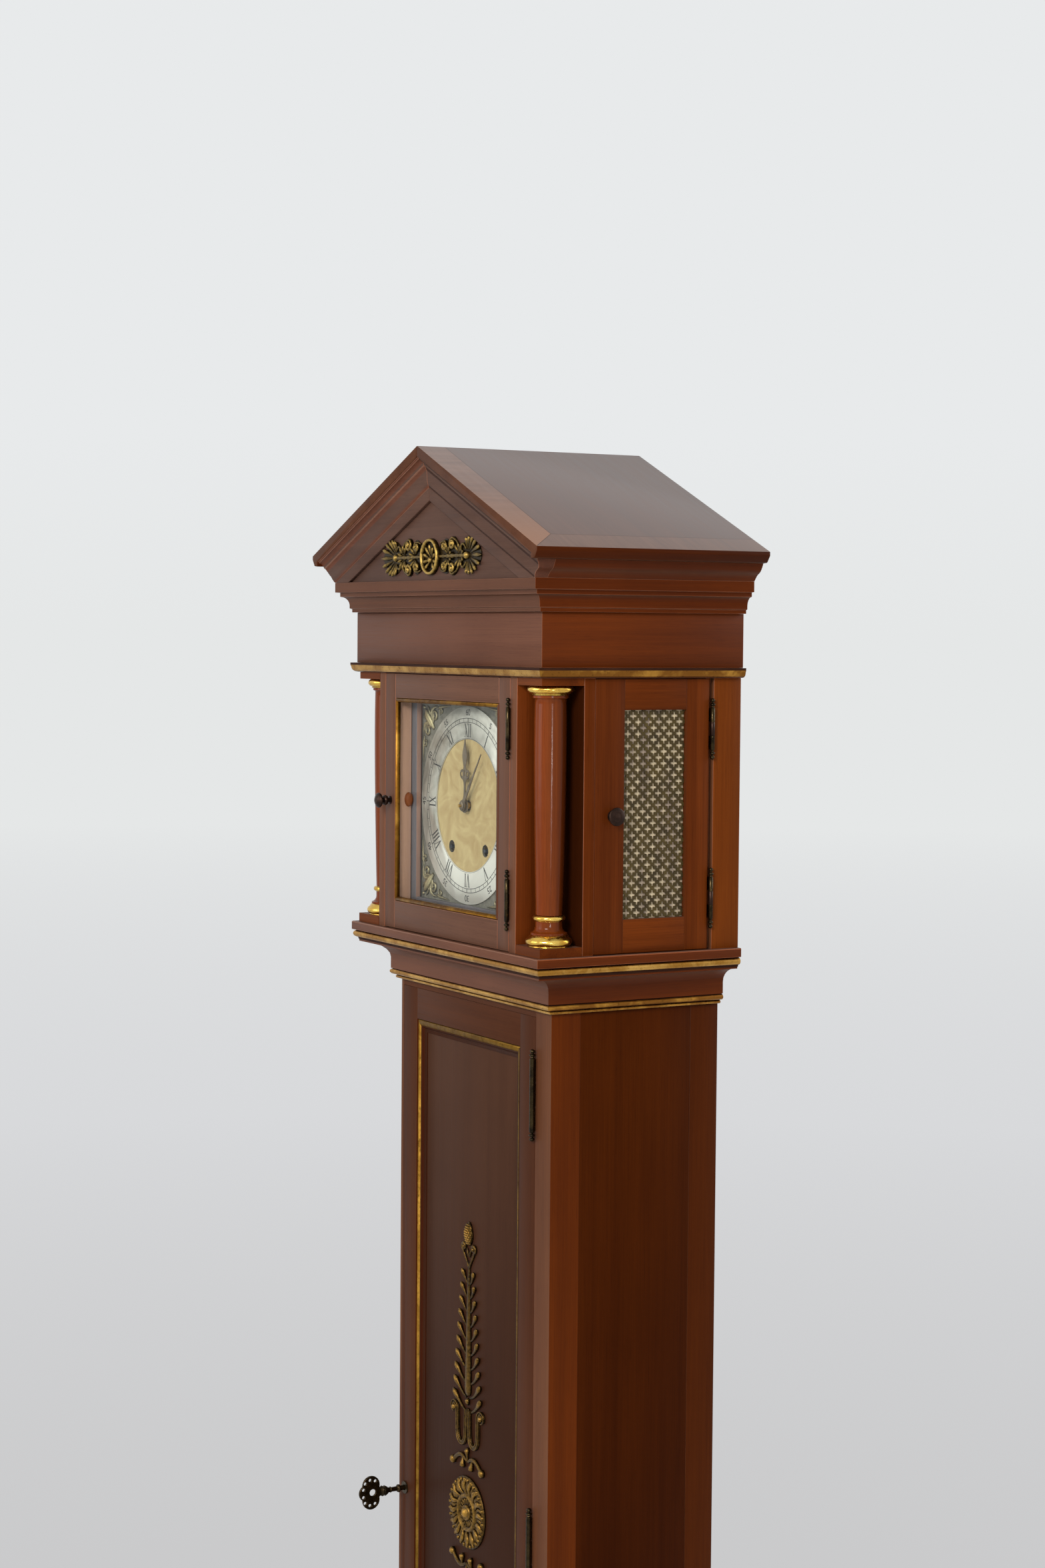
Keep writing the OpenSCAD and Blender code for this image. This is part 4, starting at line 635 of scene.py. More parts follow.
def by_length(low, size):
    """Grain along the longest side: material 0, 1 or 2 for X, Y or Z."""
    return max(range(3), key=lambda i: size[i])


def by_post(low, size):
    """The rails across the trunk's front, and its corner posts."""
    return 0 if size.x > 200 else 1


def by_flank(low, size):
    """The wide boards of the trunk's sides, and its rear posts."""
    return 0 if size.y > 60 else 1


def by_board(low, size):
    """As by_length for the hood's side, with a redder rear post and post beside the hood door, and painted
    shade on the front of the board behind the column."""
    if size.z < 150:
        return by_length(low, size)
    return 3 if low.y > 60 else 5 if low.y < -62 else 4


def by_plinth(low, size):
    """The square plinths and caps of the columns."""
    return 1 if abs(size.x - size.y) < 0.5 and size.z < 11 else 0


def torus_paint(middle, normal):
    """Gilt on the round of the moulding under the hood and over its doors, wood on the lips."""
    z = middle.z - HOOD_REST
    if z < 50:
        return 0 if 3.9 < z < 10.1 else 2
    return (1 if abs(normal.x) > 0.5 else 0) if 1.2 < middle.z - FRIEZE_Z < 8.0 else 2


def cove_bead_paint(middle, normal):
    """Gilt on the two rounds of the bead at the cove, with a dark line between them."""
    z = middle.z - TRUNK_TOP if middle.z > 1000 else TRUNK_FOOT - middle.z
    if z < 3.0 or z > 13.4:
        return 2
    return 2 if 6.2 < z < 7.7 else 1 if abs(normal.x) > 0.7 else 0


def rake_paint(middle, normal):
    """Painted sheen: a lighter, redder cove on the left slope; painted shade on the undersides of the right
    one.
    """
    if normal.y < -0.93 or normal.z > 0.3:
        return 0
    return 2 if normal.x > 0.03 else 3 if normal.z < -0.08 else 0


def door_paint(middle, normal):
    """Painted light: a pale rebate on the inner face of the hood door's left stile, where light comes through
    the glass.
    """
    if normal.x > 0.9 and -135 < middle.x < -100:
        return 4
    return 2 if abs(middle.x) > 128 else 0


def hood_bead_paint(middle, normal):
    """The bead of the hood door is bare wood at its right edge."""
    return 1 if middle.x > 121.5 else 0


def panel_bead_paint(middle, normal):
    """The bead at the right of the trunk's panel is stained wood on its right part, but for a thin gilt line,
    as if half of it sank behind the stile.
    """
    return 1 if middle.x > 106.5 and not 107.2 < middle.x < 109.4 else 0


def knob_paint(middle, normal):
    """The knob is on the left, the hinges are on the right."""
    return 1 if middle.x < 0 else 0


BEAD = [GILT, GILT_PATCHY, DARK_BOARDS[0]]
dress("base_boards", "base_case", TRUNK_BOARDS, by_length, 0.7)
dress("case_mouldings", "cove_and_skirting", FRONT_BOARDS, by_length, smooth=25)
dress("case_gilt_beads", "cove_beads", BEAD, smooth=50, paint=cove_bead_paint)
dress("trunk_front_frame", "trunk_front", [TRUNK_BOARDS[0], CORNER], by_post)
dress("trunk_side_panels", "trunk_sides", [FLANK, TRUNK_REAR], by_flank, 0.5)
dress("backboard", "back_boards", OAK_BOARDS, by_length, 0.5)
dress("seatboard", "seat_board", OAK_BOARDS, by_length, 0.6)
dress("hood_base_board", "hood_base", FRONT_BOARDS + [WORN_AND_LIT_EDGE], by_length, 0.4, edge=3)
dress("hood_gilt_mouldings", "hood_gilt", BEAD, smooth=50, paint=torus_paint)
dress("hood_posts", "hood_corner_posts", SIDE_BOARDS + [HOOD_REAR, NOTCH_SHADE, POST, WORN_AND_LIT_EDGE],
      by_board, 0.5, edge=6)
dress("frieze_boards", "frieze", FRONT_BOARDS + [WORN_AND_LIT_EDGE], by_length, 0.5, edge=3)
dress("cornice_mouldings", "cornice", CORNICE_BOARDS + [WORN_AND_LIT_EDGE], by_length, 0.4, 25, 36,
      edge=3)
dress("raking_mouldings", "gable_mouldings", [GABLE, WORN_AND_LIT_EDGE, RAKE_COVE_SHEEN, RAKE_SHADE],
      bevel=0.4, smooth=25, sharp=36, paint=rake_paint, edge=1)
dress("tympanum", "gable_field", [GABLE], bevel=0.3)
dress("roof_boards", "roof", [ROOF_LIP, ROOF], bevel=0.8, top=1)
dress("hood_columns", "columns", [COLUMN, SIDE_BOARDS[0]], by_plinth, smooth=30)
dress("column_gilt_rings", "column_rings", [GILT_BRIGHT], smooth=60)
dress("dial_mask", "dial_surround", [MASK_GLARE], bevel=0.4)
dress("hood_door_frame", "hood_door_boards", DOOR_BOARDS + [WORN_AND_LIT_EDGE, REBATE_LIT], bevel=0.5,
      paint=door_paint, edge=3)
dress("hood_door_bead", "hood_door_gilt", [GILT_DULL, DOOR_BOARDS[2]], smooth=60,
      paint=hood_bead_paint)
dress("hood_door_glass", "hood_door_pane", [GLASS])
for side in ("left", "right"):
    dress("side_door_" + side, "side_boards_" + side, SIDE_BOARDS, by_length, 0.5)
dress("trunk_door_frame", "trunk_door_boards", TRUNK_BOARDS, by_length, 0.6)
dress("trunk_door_panel", "trunk_panel", [PANEL], bevel=0.4)
dress("trunk_door_bead", "trunk_door_gilt", [GILT_TRUNK, DARK_BOARDS[2]], smooth=60,
      paint=panel_bead_paint)
for node, name in (("hood_hinge_pins", "hood_hinges"), ("trunk_hinge_pins", "trunk_hinges"),
                   ("trunk_door_hinges", "trunk_hinge_eyes"), ("hood_door_brass", "hood_knob_and_eyes")):
    dress(node, name, [HINGE, KNOB], smooth=45, paint=knob_paint)


def panel_cove():
    """Dark cove inside the gilt bead, down to the trunk door's panel."""
    x0, x1 = -141.0, 112.0
    z0, z1 = 415.0, 1558.0
    profile = [(7.6, -0.2), (7.6, 4.8), (9.0, 4.4), (10.4, 2.6), (12.4, 1.5), (15.0, 1.1), (15.6, 0.9),
               (15.6, -0.2)]
    rings = []
    for inset, rise in profile + profile[:1]:
        y = PANEL_Y - rise
        low, high = z0 + inset, z1 - inset
        left, right = x0 + inset, x1 - inset
        rings.append([(left, y, low), (right, y, low), (right, y, high), (left, y, high)])
    bm = bmesh.new()
    loft(bm, rings, cap=False)
    weld(bm, 1e-4)
    finish_mesh("trunk_panel_cove", bm, [COVE_STRIP], "trunk_door", (), 30)


def catch_boss():
    """The turned boss of the hood door's catch, behind the glass."""
    bm = bmesh.new()
    place = Matrix.Translation((-127.4, -92.0, 1824.4)) @ Matrix.Diagonal((1.0, 0.62, 1.0, 1.0))
    profile = [(0, 0), (8.2, 0), (8.7, 1.0), (8.2, 3.4), (6.2, 5.0), (3.0, 5.8), (0, 6)]
    lathe(bm, profile, place @ turn_to("Y", 90), 28)
    finish_mesh("hood_door_catch", bm, [CATCH], "hood_door", (), 50)


def door_stops():
    """The stops inside the side doors, at their upper ends."""
    bm = bmesh.new()
    inner, outer = 199.0, 203.2
    for s in (-1, 1):
        prism(bm, [(inner * s, 1955), (outer * s, 1955), (outer * s, 1975.2), (inner * s, 1975.2)], -41, 105)
    finish_mesh("side_door_stops", bm, [DARK_BOARDS[1]], "hood", (), 30)


panel_cove()
catch_boss()
door_stops()


# Sides of the hood: pierced plate over silk, knob and hinge eyes

GRILLE_X = 217.0
GRILLE_Y = (-4.1, 76.5)
GRILLE_Z = (1708.8, 1940.1)
GRILLE_PLATE = 1.2
CELLS = (12, 35)


def grille(side, s):
    """Pierced plate of four-lobed openings in offset rows that run off its edges."""
    w = (GRILLE_Y[1] - GRILLE_Y[0]) / CELLS[0]
    h = (GRILLE_Z[1] - GRILLE_Z[0]) / CELLS[1]
    lobe = []
    for degrees in range(0, 95, 5):
        a = math.radians(degrees)
        r = min(4.5, 1.3 / max(min(math.sin(a), math.cos(a)), 0.01))
        lobe.append((r * math.cos(a), r * math.sin(a)))
    cell = lobe + [(0.0, h)] + [(w - u, h - v) for u, v in lobe] + [(w, 0.0)]
    bm = bmesh.new()
    for i in range(CELLS[0]):
        for j in range(CELLS[1]):
            y, z = GRILLE_Y[0] + i * w, GRILLE_Z[0] + j * h
            outline = [(w - u, v) for u, v in reversed(cell)] if (i + j) % 2 else cell
            bm.faces.new([bm.verts.new((GRILLE_X * s, y + u, z + v)) for u, v in outline])
    weld(bm, 0.02)
    made = bmesh.ops.extrude_face_region(bm, geom=bm.faces[:])
    moved = [v for v in made["geom"] if isinstance(v, bmesh.types.BMVert)]
    bmesh.ops.translate(bm, verts=moved, vec=(GRILLE_PLATE * s, 0, 0))
    finish_mesh("grille_" + side, bm, [GRILLE], side + "_door", ("side_grille_" + side,), 30)


def silk(side, s):
    """Stretched silk with a slight wave."""
    rows = []
    for i in range(13):
        y = GRILLE_Y[0] + (GRILLE_Y[1] - GRILLE_Y[0]) * i / 12
        row = []
        for j in range(25):
            sag = 0.9 + 0.35 * math.sin(i * 1.7) * math.sin(j * 0.9)
            row.append((GRILLE_X * s - s * sag, y, GRILLE_Z[0] + (GRILLE_Z[1] - GRILLE_Z[0]) * j / 24))
        rows.append(row)
    bm = bmesh.new()
    loft(bm, rows, closed=False, cap=False)
    finish_mesh("silk_" + side, bm, [SILK], side + "_door", (), 60)


def side_knob(side, s):
    """Turned knob of a side door, and the two eyes of its hinges."""
    profile = [(0, 0), (5.4, 0), (5.8, 0.6), (5.0, 1.2), (2.6, 2.2), (2.3, 3.6)]
    profile += arc(2.6, 7, 3.6, 3.2, -70, 70, 8)
    profile += [(2.4, 10.8), (3.4, 12.4)]
    profile += arc(4.6, 15.4, 4.4, 2.8, -60, 60, 8)
    profile += [(5.6, 18.4), (4.6, 18.9), (4.2, 18.6), (2.6, 19.2), (0, 20)]
    bm = bmesh.new()
    place = Matrix.Translation((222.1 * s, -19.0, 1823.5)) @ turn_to("Y", 90 * s)
    lathe(bm, [(r * 1.14, z * 0.62) for r, z in profile], place, 28)
    bore, r, end = 1.35, 2.6, 7.65
    eye = [(bore, -end), (r - 0.3, -end), (r, 0.3 - end), (r, end - 0.3), (r - 0.3, end), (bore, end)]
    for z in (1728.5, 1918.5):
        lathe(bm, eye, Matrix.Translation((224.8 * s, 109.4, z)), 24)
    finish_mesh("side_knob_" + side, bm, [KNOB], side + "_door", (), 45)


for side, s in (("left", -1), ("right", 1)):
    grille(side, s)
    silk(side, s)
    side_knob(side, s)


# Cast mounts: strokes and studs in relief

ONCE = ((1, 1),)
BESIDE = ((-1, 1), (1, 1))
ABOVE = ((1, 1), (1, -1))
CORNERS = BESIDE + ((-1, -1), (1, -1))


class Relief:
    """Parts of a mount about its centre. Each is drawn once for every pair of signs in copies,
    which turn it to the right or left and up or down."""

    def __init__(self, bm, centre, copies):
        self.bm = bm
        self.centre = Vector(centre)
        self.copies = copies

    def stroke(self, points, widths, rise, sides=8):
        """A rounded ridge along points, each (right, up, forward). widths are its half widths at the
        points, or at its start, middle and end. rise is its height as a share of them."""
        if len(widths) == 3:
            widths = fade(len(points), *widths)
        last = len(points) - 1
        for right, up in self.copies:
            path = [Vector((x * right, z * up, lift)) for x, z, lift in points]
            rings = []
            for i, (p, w) in enumerate(zip(path, widths)):
                along = (path[min(i + 1, last)] - path[max(i - 1, 0)]).xy.normalized()
                across = Vector((along.y, -along.x))
                section = []
                for a in turns(sides):
                    q = p.xy + across * (w * math.cos(a))
                    section.append(self.centre + Vector((q.x, -(p.z + w * rise * math.sin(a)), q.y)))
                rings.append(section)
            loft(self.bm, rings)

    def stud(self, profile, x, z, sides):
        """A turned form, as in lathe."""
        for right, up in self.copies:
            lathe(self.bm, profile, facing(*(self.centre + Vector((x * right, 0, z * up)))), sides)

    def plate(self, outline, rise):
        """A flat ground of the height rise."""
        x, y, z = self.centre
        for right, up in self.copies:
            prism(self.bm, [(x + u * right, z + v * up) for u, v in outline], y, y - rise)


def level(points, lift):
    return [(x, z, lift) for x, z in points]


def ray(x, a, reaches):
    """Points straight out from (x, 0) at the angle a. reaches gives each as (radius, forward)."""
    return [(x + r * math.cos(a), r * math.sin(a), lift) for r, lift in reaches]


def gable_mount():
    bm = bmesh.new()
    at = (0, GABLE_Y, GABLE_Z)
    middle = Relief(bm, at, ONCE)
    wings = Relief(bm, at, BESIDE)
    corners = Relief(bm, at, CORNERS)
    middle.plate(circle(0, 0, 21, 36), 0.8)
    grounds = ((28, 0, 13, 15), (36, 12, 8, 8), (36, -12, 8, 8), (54, 0, 18, 11), (54, 15, 8.4, 7),
               (54, -15, 8.4, 7), (72, 0, 12, 12), (92, 0, 20, 19.5), (104, 0, 16, 12))
    for k, (x, z, rx, rz) in enumerate(grounds):
        wings.plate(circle(x, z, rx, 24, rz), 0.7 + 0.05 * k)
    rim = [(17.0, 0), (20.6, 0), (21, 1.6), (20.8, 4.4), (19.8, 5.8), (18.2, 5.8), (17.2, 4.2), (17.0, 0.6),
           (17.0, 0)]
    middle.stud(rim, 0, 0, 48)
    for k in range(-4, 5):
        a = math.radians(90 + 34 * k)
        reach = 14.5 - 0.5 * abs(k)
        points = []
        for q in steps(6):
            r = 1.5 + reach * q
            points.append((r * math.cos(a), -3 + r * math.sin(a) * 1.02, 0.8 + 3.0 * q))
        middle.stroke(points, [0.7, 0.9, 1.2, 1.6, 2.0, 2.1, 1.0], 0.8)
    middle.stud([(0, 1.0), (3.4, 1.0), (3.4, 3.0), (2.4, 4.8), (0, 5.4)], 0, -4, 20)
    lengths = (36, 33, 29, 25.5, 22.5, 20)
    for k, length in enumerate(lengths):
        points = []
        for q in steps(8):
            r = 6 + (length - 6) * q
            b = math.radians(18.5 * k) - 0.2 * k / len(lengths) * (q - 0.4)
            points.append((87 + r * math.cos(b), r * math.sin(b), 0.6 + 2.6 * q))
        if k:
            corners.stroke(points, [0.9, 1.0, 1.2, 1.5, 1.8, 2.2, 2.6, 2.5, 1.2], 0.75)
        else:
            wings.stroke(points, [1.0, 1.3, 1.7, 2.1, 2.4, 2.5, 2.1, 1.4, 0.5], 0.75)
    wings.stud([(0, 0), (4.6, 0), (4.6, 2.6), (3.2, 4.8), (0, 5.6)], 87, 0, 20)
    path = spiral(54, 14.0, 1.6, 6.6, 560, 90, 24)
    points = [(x, z, 2.2 + 1.6 * (1 - i / 24)) for i, (x, z) in enumerate(path)]
    points += [(60 + 3.6 * i, 20.2 - 3.4 * i, 2.0) for i in range(1, 6)]
    corners.stroke(points, (1.3, 2.0, 1.1), 1.1)
    corners.stud([(0, 0), (2.4, 0), (2.4, 4.0), (1.4, 5.6), (0, 6)], 54, 14.0, 14)
    points = level(spiral(34, 12.0, 1.2, 5.6, -400, 60, 20), 2.6) + [(30, 17.0, 2.0), (24, 15.0, 1.6)]
    corners.stroke(points, (1.1, 1.9, 1.1), 1.1)
    for k in range(4):
        a = math.radians(22 + 33 * k)
        for x, length, lift in ((40, 9.5, 2.6), (68, 10.5, 2.4)):
            points = ray(x, a, [(3 + length * q, 0.8 + lift * q) for q in steps(5)])
            corners.stroke(points, [0.7, 1.0, 1.4, 1.8, 1.8, 0.8], 0.8)
    points = [(70 + 2.0 * i, 5 + 8 * math.sin(i * 0.36), 2.2) for i in range(9)]
    corners.stroke(points, (1.0, 1.7, 0.8), 1.0)
    points = [(21 + 5.4 * i, 0, 1.4 + 1.2 * (i % 2)) for i in range(13)]
    wings.stroke(points, [2.2, 1.4, 2.6, 1.4, 3.0, 1.6, 3.4, 1.6, 3.0, 1.6, 2.8, 2.0, 2.4], 0.8, 10)
    finish_mesh("gable_mount", bm, [MOUNT_GABLE], "hood", ("pediment_mount",), 70)


def rosette(bm):
    whole = Relief(bm, MOUNT_AT, ONCE)
    profile = [(0, 0), (42.6, 0), (43.2, 1.0), (42.6, 2.6), (40, 3.6), (35, 3.0), (30, 2.2), (23, 2.4),
               (21.6, 4.6), (20, 5.4), (18.4, 4.6), (17.2, 2.6), (12, 2.0), (9.6, 2.2), (9, 4.6), (8, 5.2),
               (7, 4.4), (5.6, 4.6), (4.2, 7.6), (0, 9)]
    whole.stud(profile, 0, 0, 72)
    for a in turns(16):
        for turn, r0, r1, w, lift in ((0.0, 22.5, 40.5, 3.4, 2.6), (0.196, 24, 38, 2.2, 1.8)):
            points = []
            for q in steps(7):
                r = r0 + (r1 - r0) * q
                b = a + turn + 0.16 * math.sin(q * 3.0)
                points.append((r * math.cos(b), r * math.sin(b), lift + 1.4 * math.sin(q * 2.8)))
            whole.stroke(points, [w * v for v in (0.35, 0.6, 0.8, 0.95, 1.0, 1.0, 0.8, 0.35)], 0.62)
    for a in turns(32):
        points = ray(0, a + math.pi / 32, ((36.5, 3.4), (39, 4.0), (41, 3.2), (42.4, 1.6)))
        whole.stroke(points, [1.0, 2.0, 2.2, 1.0], 0.8)
    for a in turns(20):
        points = ray(0, a, ((10.5, 2.6), (13, 2.6), (15.5, 2.6), (17, 2.6)))
        whole.stroke(points, [0.6, 1.2, 1.5, 0.8], 0.8, 6)


def crest(middle, beside):
    """Bud and two arms next to the rosette."""
    points = [(0, 60, 1.6), (0, 65, 2.0), (0, 70, 2.4), (0, 74, 2.6), (0, 77.5, 1.4)]
    middle.stroke(points, [1.7, 1.6, 2.2, 3.7, 1.4], 0.9, 10)
    arm = [(2, 61), (7, 64.5), (13, 66.2), (19, 65.6), (25, 62.6), (30, 58.8), (33.6, 56)]
    beside.stroke(level(arm, 1.8), [1.6, 2.2, 2.6, 2.8, 2.8, 2.7, 3.2], 0.85, 10)
    beside.stud([(0, 0), (4.6, 0), (5.1, 2), (4.2, 4.4), (2.4, 5.6), (0, 6)], 35, 55.5, 20)
    points = [(11.5, 65, 1.6), (11, 61, 2), (10.6, 57.5, 2.6), (10.4, 54, 2.6), (10.3, 51.5, 1.2)]
    beside.stroke(points, [1.4, 2.0, 3.2, 3.8, 1.4], 0.95, 10)


def lyre(middle, beside):
    """Two loops side by side. Their outer stems turn out into volutes."""
    path = [(3.4, 123), (4.0, 112), (4.2, 102), (5.0, 94)] + arc(14.6, 92.5, 9.8, 11.8, 180, 360, 12)[1:]
    path += [(25.0, 100), (24.6, 107), (25.4, 113)] + spiral(32.6, 119.6, 7.6, 1.6, 205, -250, 22)[1:]
    widths = [2.8] * 4 + [3.2] * 12 + [2.8] * 3 + [2.6 - 0.9 * q for q in steps(21)]
    beside.stroke(level(path, 0.8), widths, 0.8)
    for off in (-1.9, 1.9):
        line = []
        for i in range(len(path) - 8):
            x0, z0 = path[max(i - 1, 0)]
            x1, z1 = path[i + 1]
            share = off / math.hypot(x1 - x0, z1 - z0)
            line.append((path[i][0] + share * (z1 - z0), path[i][1] - share * (x1 - x0), 3.0))
        beside.stroke(line, (0.8, 0.95, 0.7), 1.0, 6)
    beside.stud([(0, 0), (3.4, 0), (3.6, 3), (2.2, 5.4), (0, 6)], 32.4, 119.4, 18)
    beside.stroke([(0.6, 124, 1.2), (3, 121, 1.6), (4.4, 116, 1.4)], [1.4, 1.8, 1.0], 0.9)
    points = [(0, 128.5, 1.4), (0, 131.5, 2.2), (0, 134.4, 2.4), (0, 137, 1.2)]
    middle.stroke(points, [1.2, 3.0, 3.4, 1.2], 0.9, 10)


def frond(middle, beside):
    """Smooth tapering rib with pairs of comma-shaped leaves, and two small scrolls at its tip."""
    rib = [(0, z) for z in (139.5, 141, 144, 150, 180, 220, 260, 288, 300)]
    middle.stroke(level(rib, 1.2), [2.0, 4.6, 6.2, 6.6, 5.8, 4.8, 3.8, 2.6, 1.0], 0.52, 14)
    for i in range(10):
        tip_x = 33.5 - 2.15 * i
        tip_z = 141.5 + 16.4 * i
        x = 4.4 - 0.25 * i
        z = tip_z - 21 + 0.5 * i
        points = []
        for q in steps(9):
            points.append((x + (tip_x - x) * q ** 0.8, z + (tip_z - z) * q ** 1.25, 1.2 + 1.9 * q * q))
        widths = [w * (1.0 - 0.02 * i) for w in (1.2, 1.5, 1.7, 1.9, 2.1, 2.4, 3.0, 3.7, 3.5, 1.6)]
        beside.stroke(points, widths, 0.86)
    points = [(1.2, 292, 1.2), (5, 299, 1.4), (10, 306, 1.6), (14, 312.5, 1.8)]
    points += level(spiral(11.4, 315.6, 5.2, 1.2, -35, 330, 16), 1.8)
    beside.stroke(points, (1.4, 2.4, 1.2), 0.9)
    beside.stud([(0, 0), (2.2, 0), (2.2, 3), (1.2, 4.4), (0, 4.8)], 11.2, 315.8, 14)
    beside.stroke([(0.8, 305, 1.2), (3.4, 310, 1.4), (5.2, 315, 1.2)], [1.0, 1.8, 0.8], 0.9)


def cone(middle):
    """Pine cone of overlapping scales."""
    core = [(0, z) for z in (319, 322, 327, 333, 339, 344, 347)]
    middle.stroke(level(core, 1.4), [2.6, 6.2, 8.4, 8.6, 6.8, 4.0, 1.0], 0.5, 12)
    for row in range(9):
        z = 321 + row * 2.75
        half = 8.4 * math.sin(math.pi * (z - 315) / 33) ** 0.8
        crown = 3.8 * math.sin(math.pi * (row + 2) / 12)
        count = 4 if row % 2 else 5
        for k in range(count):
            aside = 0.44 * (k - (count - 1) / 2)
            x = aside * half
            rise = 1.6 + crown * math.sqrt(1 - aside * aside)
            points = [(x, z - 1.6, rise - 0.4), (x, z, rise + 0.5), (x, z + 1.6, rise)]
            middle.stroke(points, [0.7, 1.5, 0.6], 0.9, 6)


def trunk_mounts():
    bm = bmesh.new()
    middle = Relief(bm, MOUNT_AT, ABOVE)
    beside = Relief(bm, MOUNT_AT, CORNERS)
    rosette(bm)
    crest(middle, beside)
    lyre(middle, beside)
    frond(middle, beside)
    cone(middle)
    finish_mesh("trunk_mounts", bm, [MOUNT], "trunk_door", ("trunk_door_mounts",), 70)


gable_mount()
trunk_mounts()


# Dial

NUMERALS = ("I", "II", "III", "IIII", "V", "VI", "VII", "VIII", "IX", "X", "XI", "XII")
WIDTHS = {"I": 4.2, "V": 8.4, "X": 8.4}
LOW = 79.6
HIGH = 94.6
LEAN = 2.8
THICK = 1.5
THIN = 0.6
WAX_Y = DIAL_Y + 0.02
WAX_DEPTH = 0.14


def serif(x, r, half):
    return (x - half, r, x + half, r, 0.5)


# The strokes of each letter: both ends, each as (along the ring, radius), and the width
LETTERS = {
    "I": [(0, LOW, 0, HIGH, THICK), serif(0, LOW, 1.7), serif(0, HIGH, 1.7)],
    "V": [(-LEAN, HIGH, 0, LOW, THICK), (LEAN, HIGH, 0, LOW, THIN)],
    "X": [(-LEAN, HIGH, LEAN, LOW, THICK), (LEAN, HIGH, -LEAN, LOW, THIN)],
}
for x in (-LEAN, LEAN):
    LETTERS["V"].append(serif(x, HIGH, 1.6))
    LETTERS["X"] += [serif(x, LOW, 1.6), serif(x, HIGH, 1.6)]


def on_ring(angle, s, r):
    """Point at s along the tangent and r from the centre of the dial."""
    a = math.radians(angle)
    return (r * math.sin(a) + s * math.cos(a), DIAL_Z + r * math.cos(a) - s * math.sin(a))


def engrave(bm, angle, a, b, wide):
    """A thin fill of wax from a to b, each (along, radius)."""
    a, b = Vector(a), Vector(b)
    along = (b - a).normalized()
    aside = Vector((along.y, -along.x)) * wide / 2
    corners = (a + aside, b + aside, b - aside, a - aside)
    prism(bm, [on_ring(angle, s, r) for s, r in corners], WAX_Y, WAX_Y - WAX_DEPTH)


def engraved_ring(bm, r0, r1):
    rings = []
    front = WAX_Y - WAX_DEPTH
    for r, y in ((r0, front), (r0, WAX_Y), (r1, WAX_Y), (r1, front), (r0, front)):
        rings.append([(x, y, z) for x, z in [on_ring(angle, 0, r) for angle in range(0, 360, 2)]])
    loft(bm, rings, cap=False)
    weld(bm, 1e-5)


def engraving():
    """Wax in the numerals, the rings and the divisions of the chapter ring."""
    bm = bmesh.new()
    for hour, text in enumerate(NUMERALS, 1):
        x = -sum(WIDTHS[letter] for letter in text) / 2
        for letter in text:
            x += WIDTHS[letter] / 2
            for x0, r0, x1, r1, wide in LETTERS[letter]:
                engrave(bm, 30 * hour, (x + x0, r0), (x + x1, r1), wide)
            x += WIDTHS[letter] / 2
    for r0, r1 in ((96.3, 96.95), (100.9, 101.55), (77.7, 78.05)):
        engraved_ring(bm, r0, r1)
    for minute in range(60):
        engrave(bm, 6 * minute, (0, 96.8), (0, 101.1), 0.4 if minute % 5 else 1.0)
    finish_mesh("dial_engraving", bm, [WAX], "case", (), 30)


def minute_number(minute):
    curve = bpy.data.curves.new("minute_number", "FONT")
    curve.body = str(minute)
    curve.size = 10.5 * MM
    curve.align_x = "CENTER"
    curve.align_y = "CENTER"
    curve.extrude = 0.06 * MM
    x, z = on_ring(6 * minute, 0, 107.6)
    place = Matrix.Translation((x * MM, (WAX_Y - 0.06) * MM, z * MM))
    mesh = mesh_of(curve, place @ turn_to("Y", 6 * minute) @ turn_to("X", 90))
    mesh.materials.clear()
    mesh.materials.append(WAX)
    number = bpy.data.objects.new("minute_number_%02d" % minute, mesh)
    bpy.context.scene.collection.objects.link(number)
    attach(number, "case")


def dial():
    """The chapter ring, the plate it lies on and the matt centre, pierced for the winding
    squares and the hands."""
    dress("chapter_ring", "dial_ring", [SILVER], bevel=0.25, smooth=30)
    holes = [circle(40.6, -50, 7.2, 36), circle(-40.6, -50, 7.2, 36), circle(0, 0, 6, 36)]
    square = [(-118, -118), (118, -118), (118, 118), (-118, 118)]
    bm = filled([square] + holes, 2.4, facing(0, PLATE_Y + 1.25, DIAL_Z))
    finish_mesh("dial_back_plate", bm, [GROUND], "case", ("dial_plate",), 30)
    bm = filled([circle(0, 0, 76.9, 120)] + holes, 0.2, facing(0, PLATE_Y - 0.1, DIAL_Z))
    finish_mesh("dial_centre", bm, [SAND], "case", (), 30)


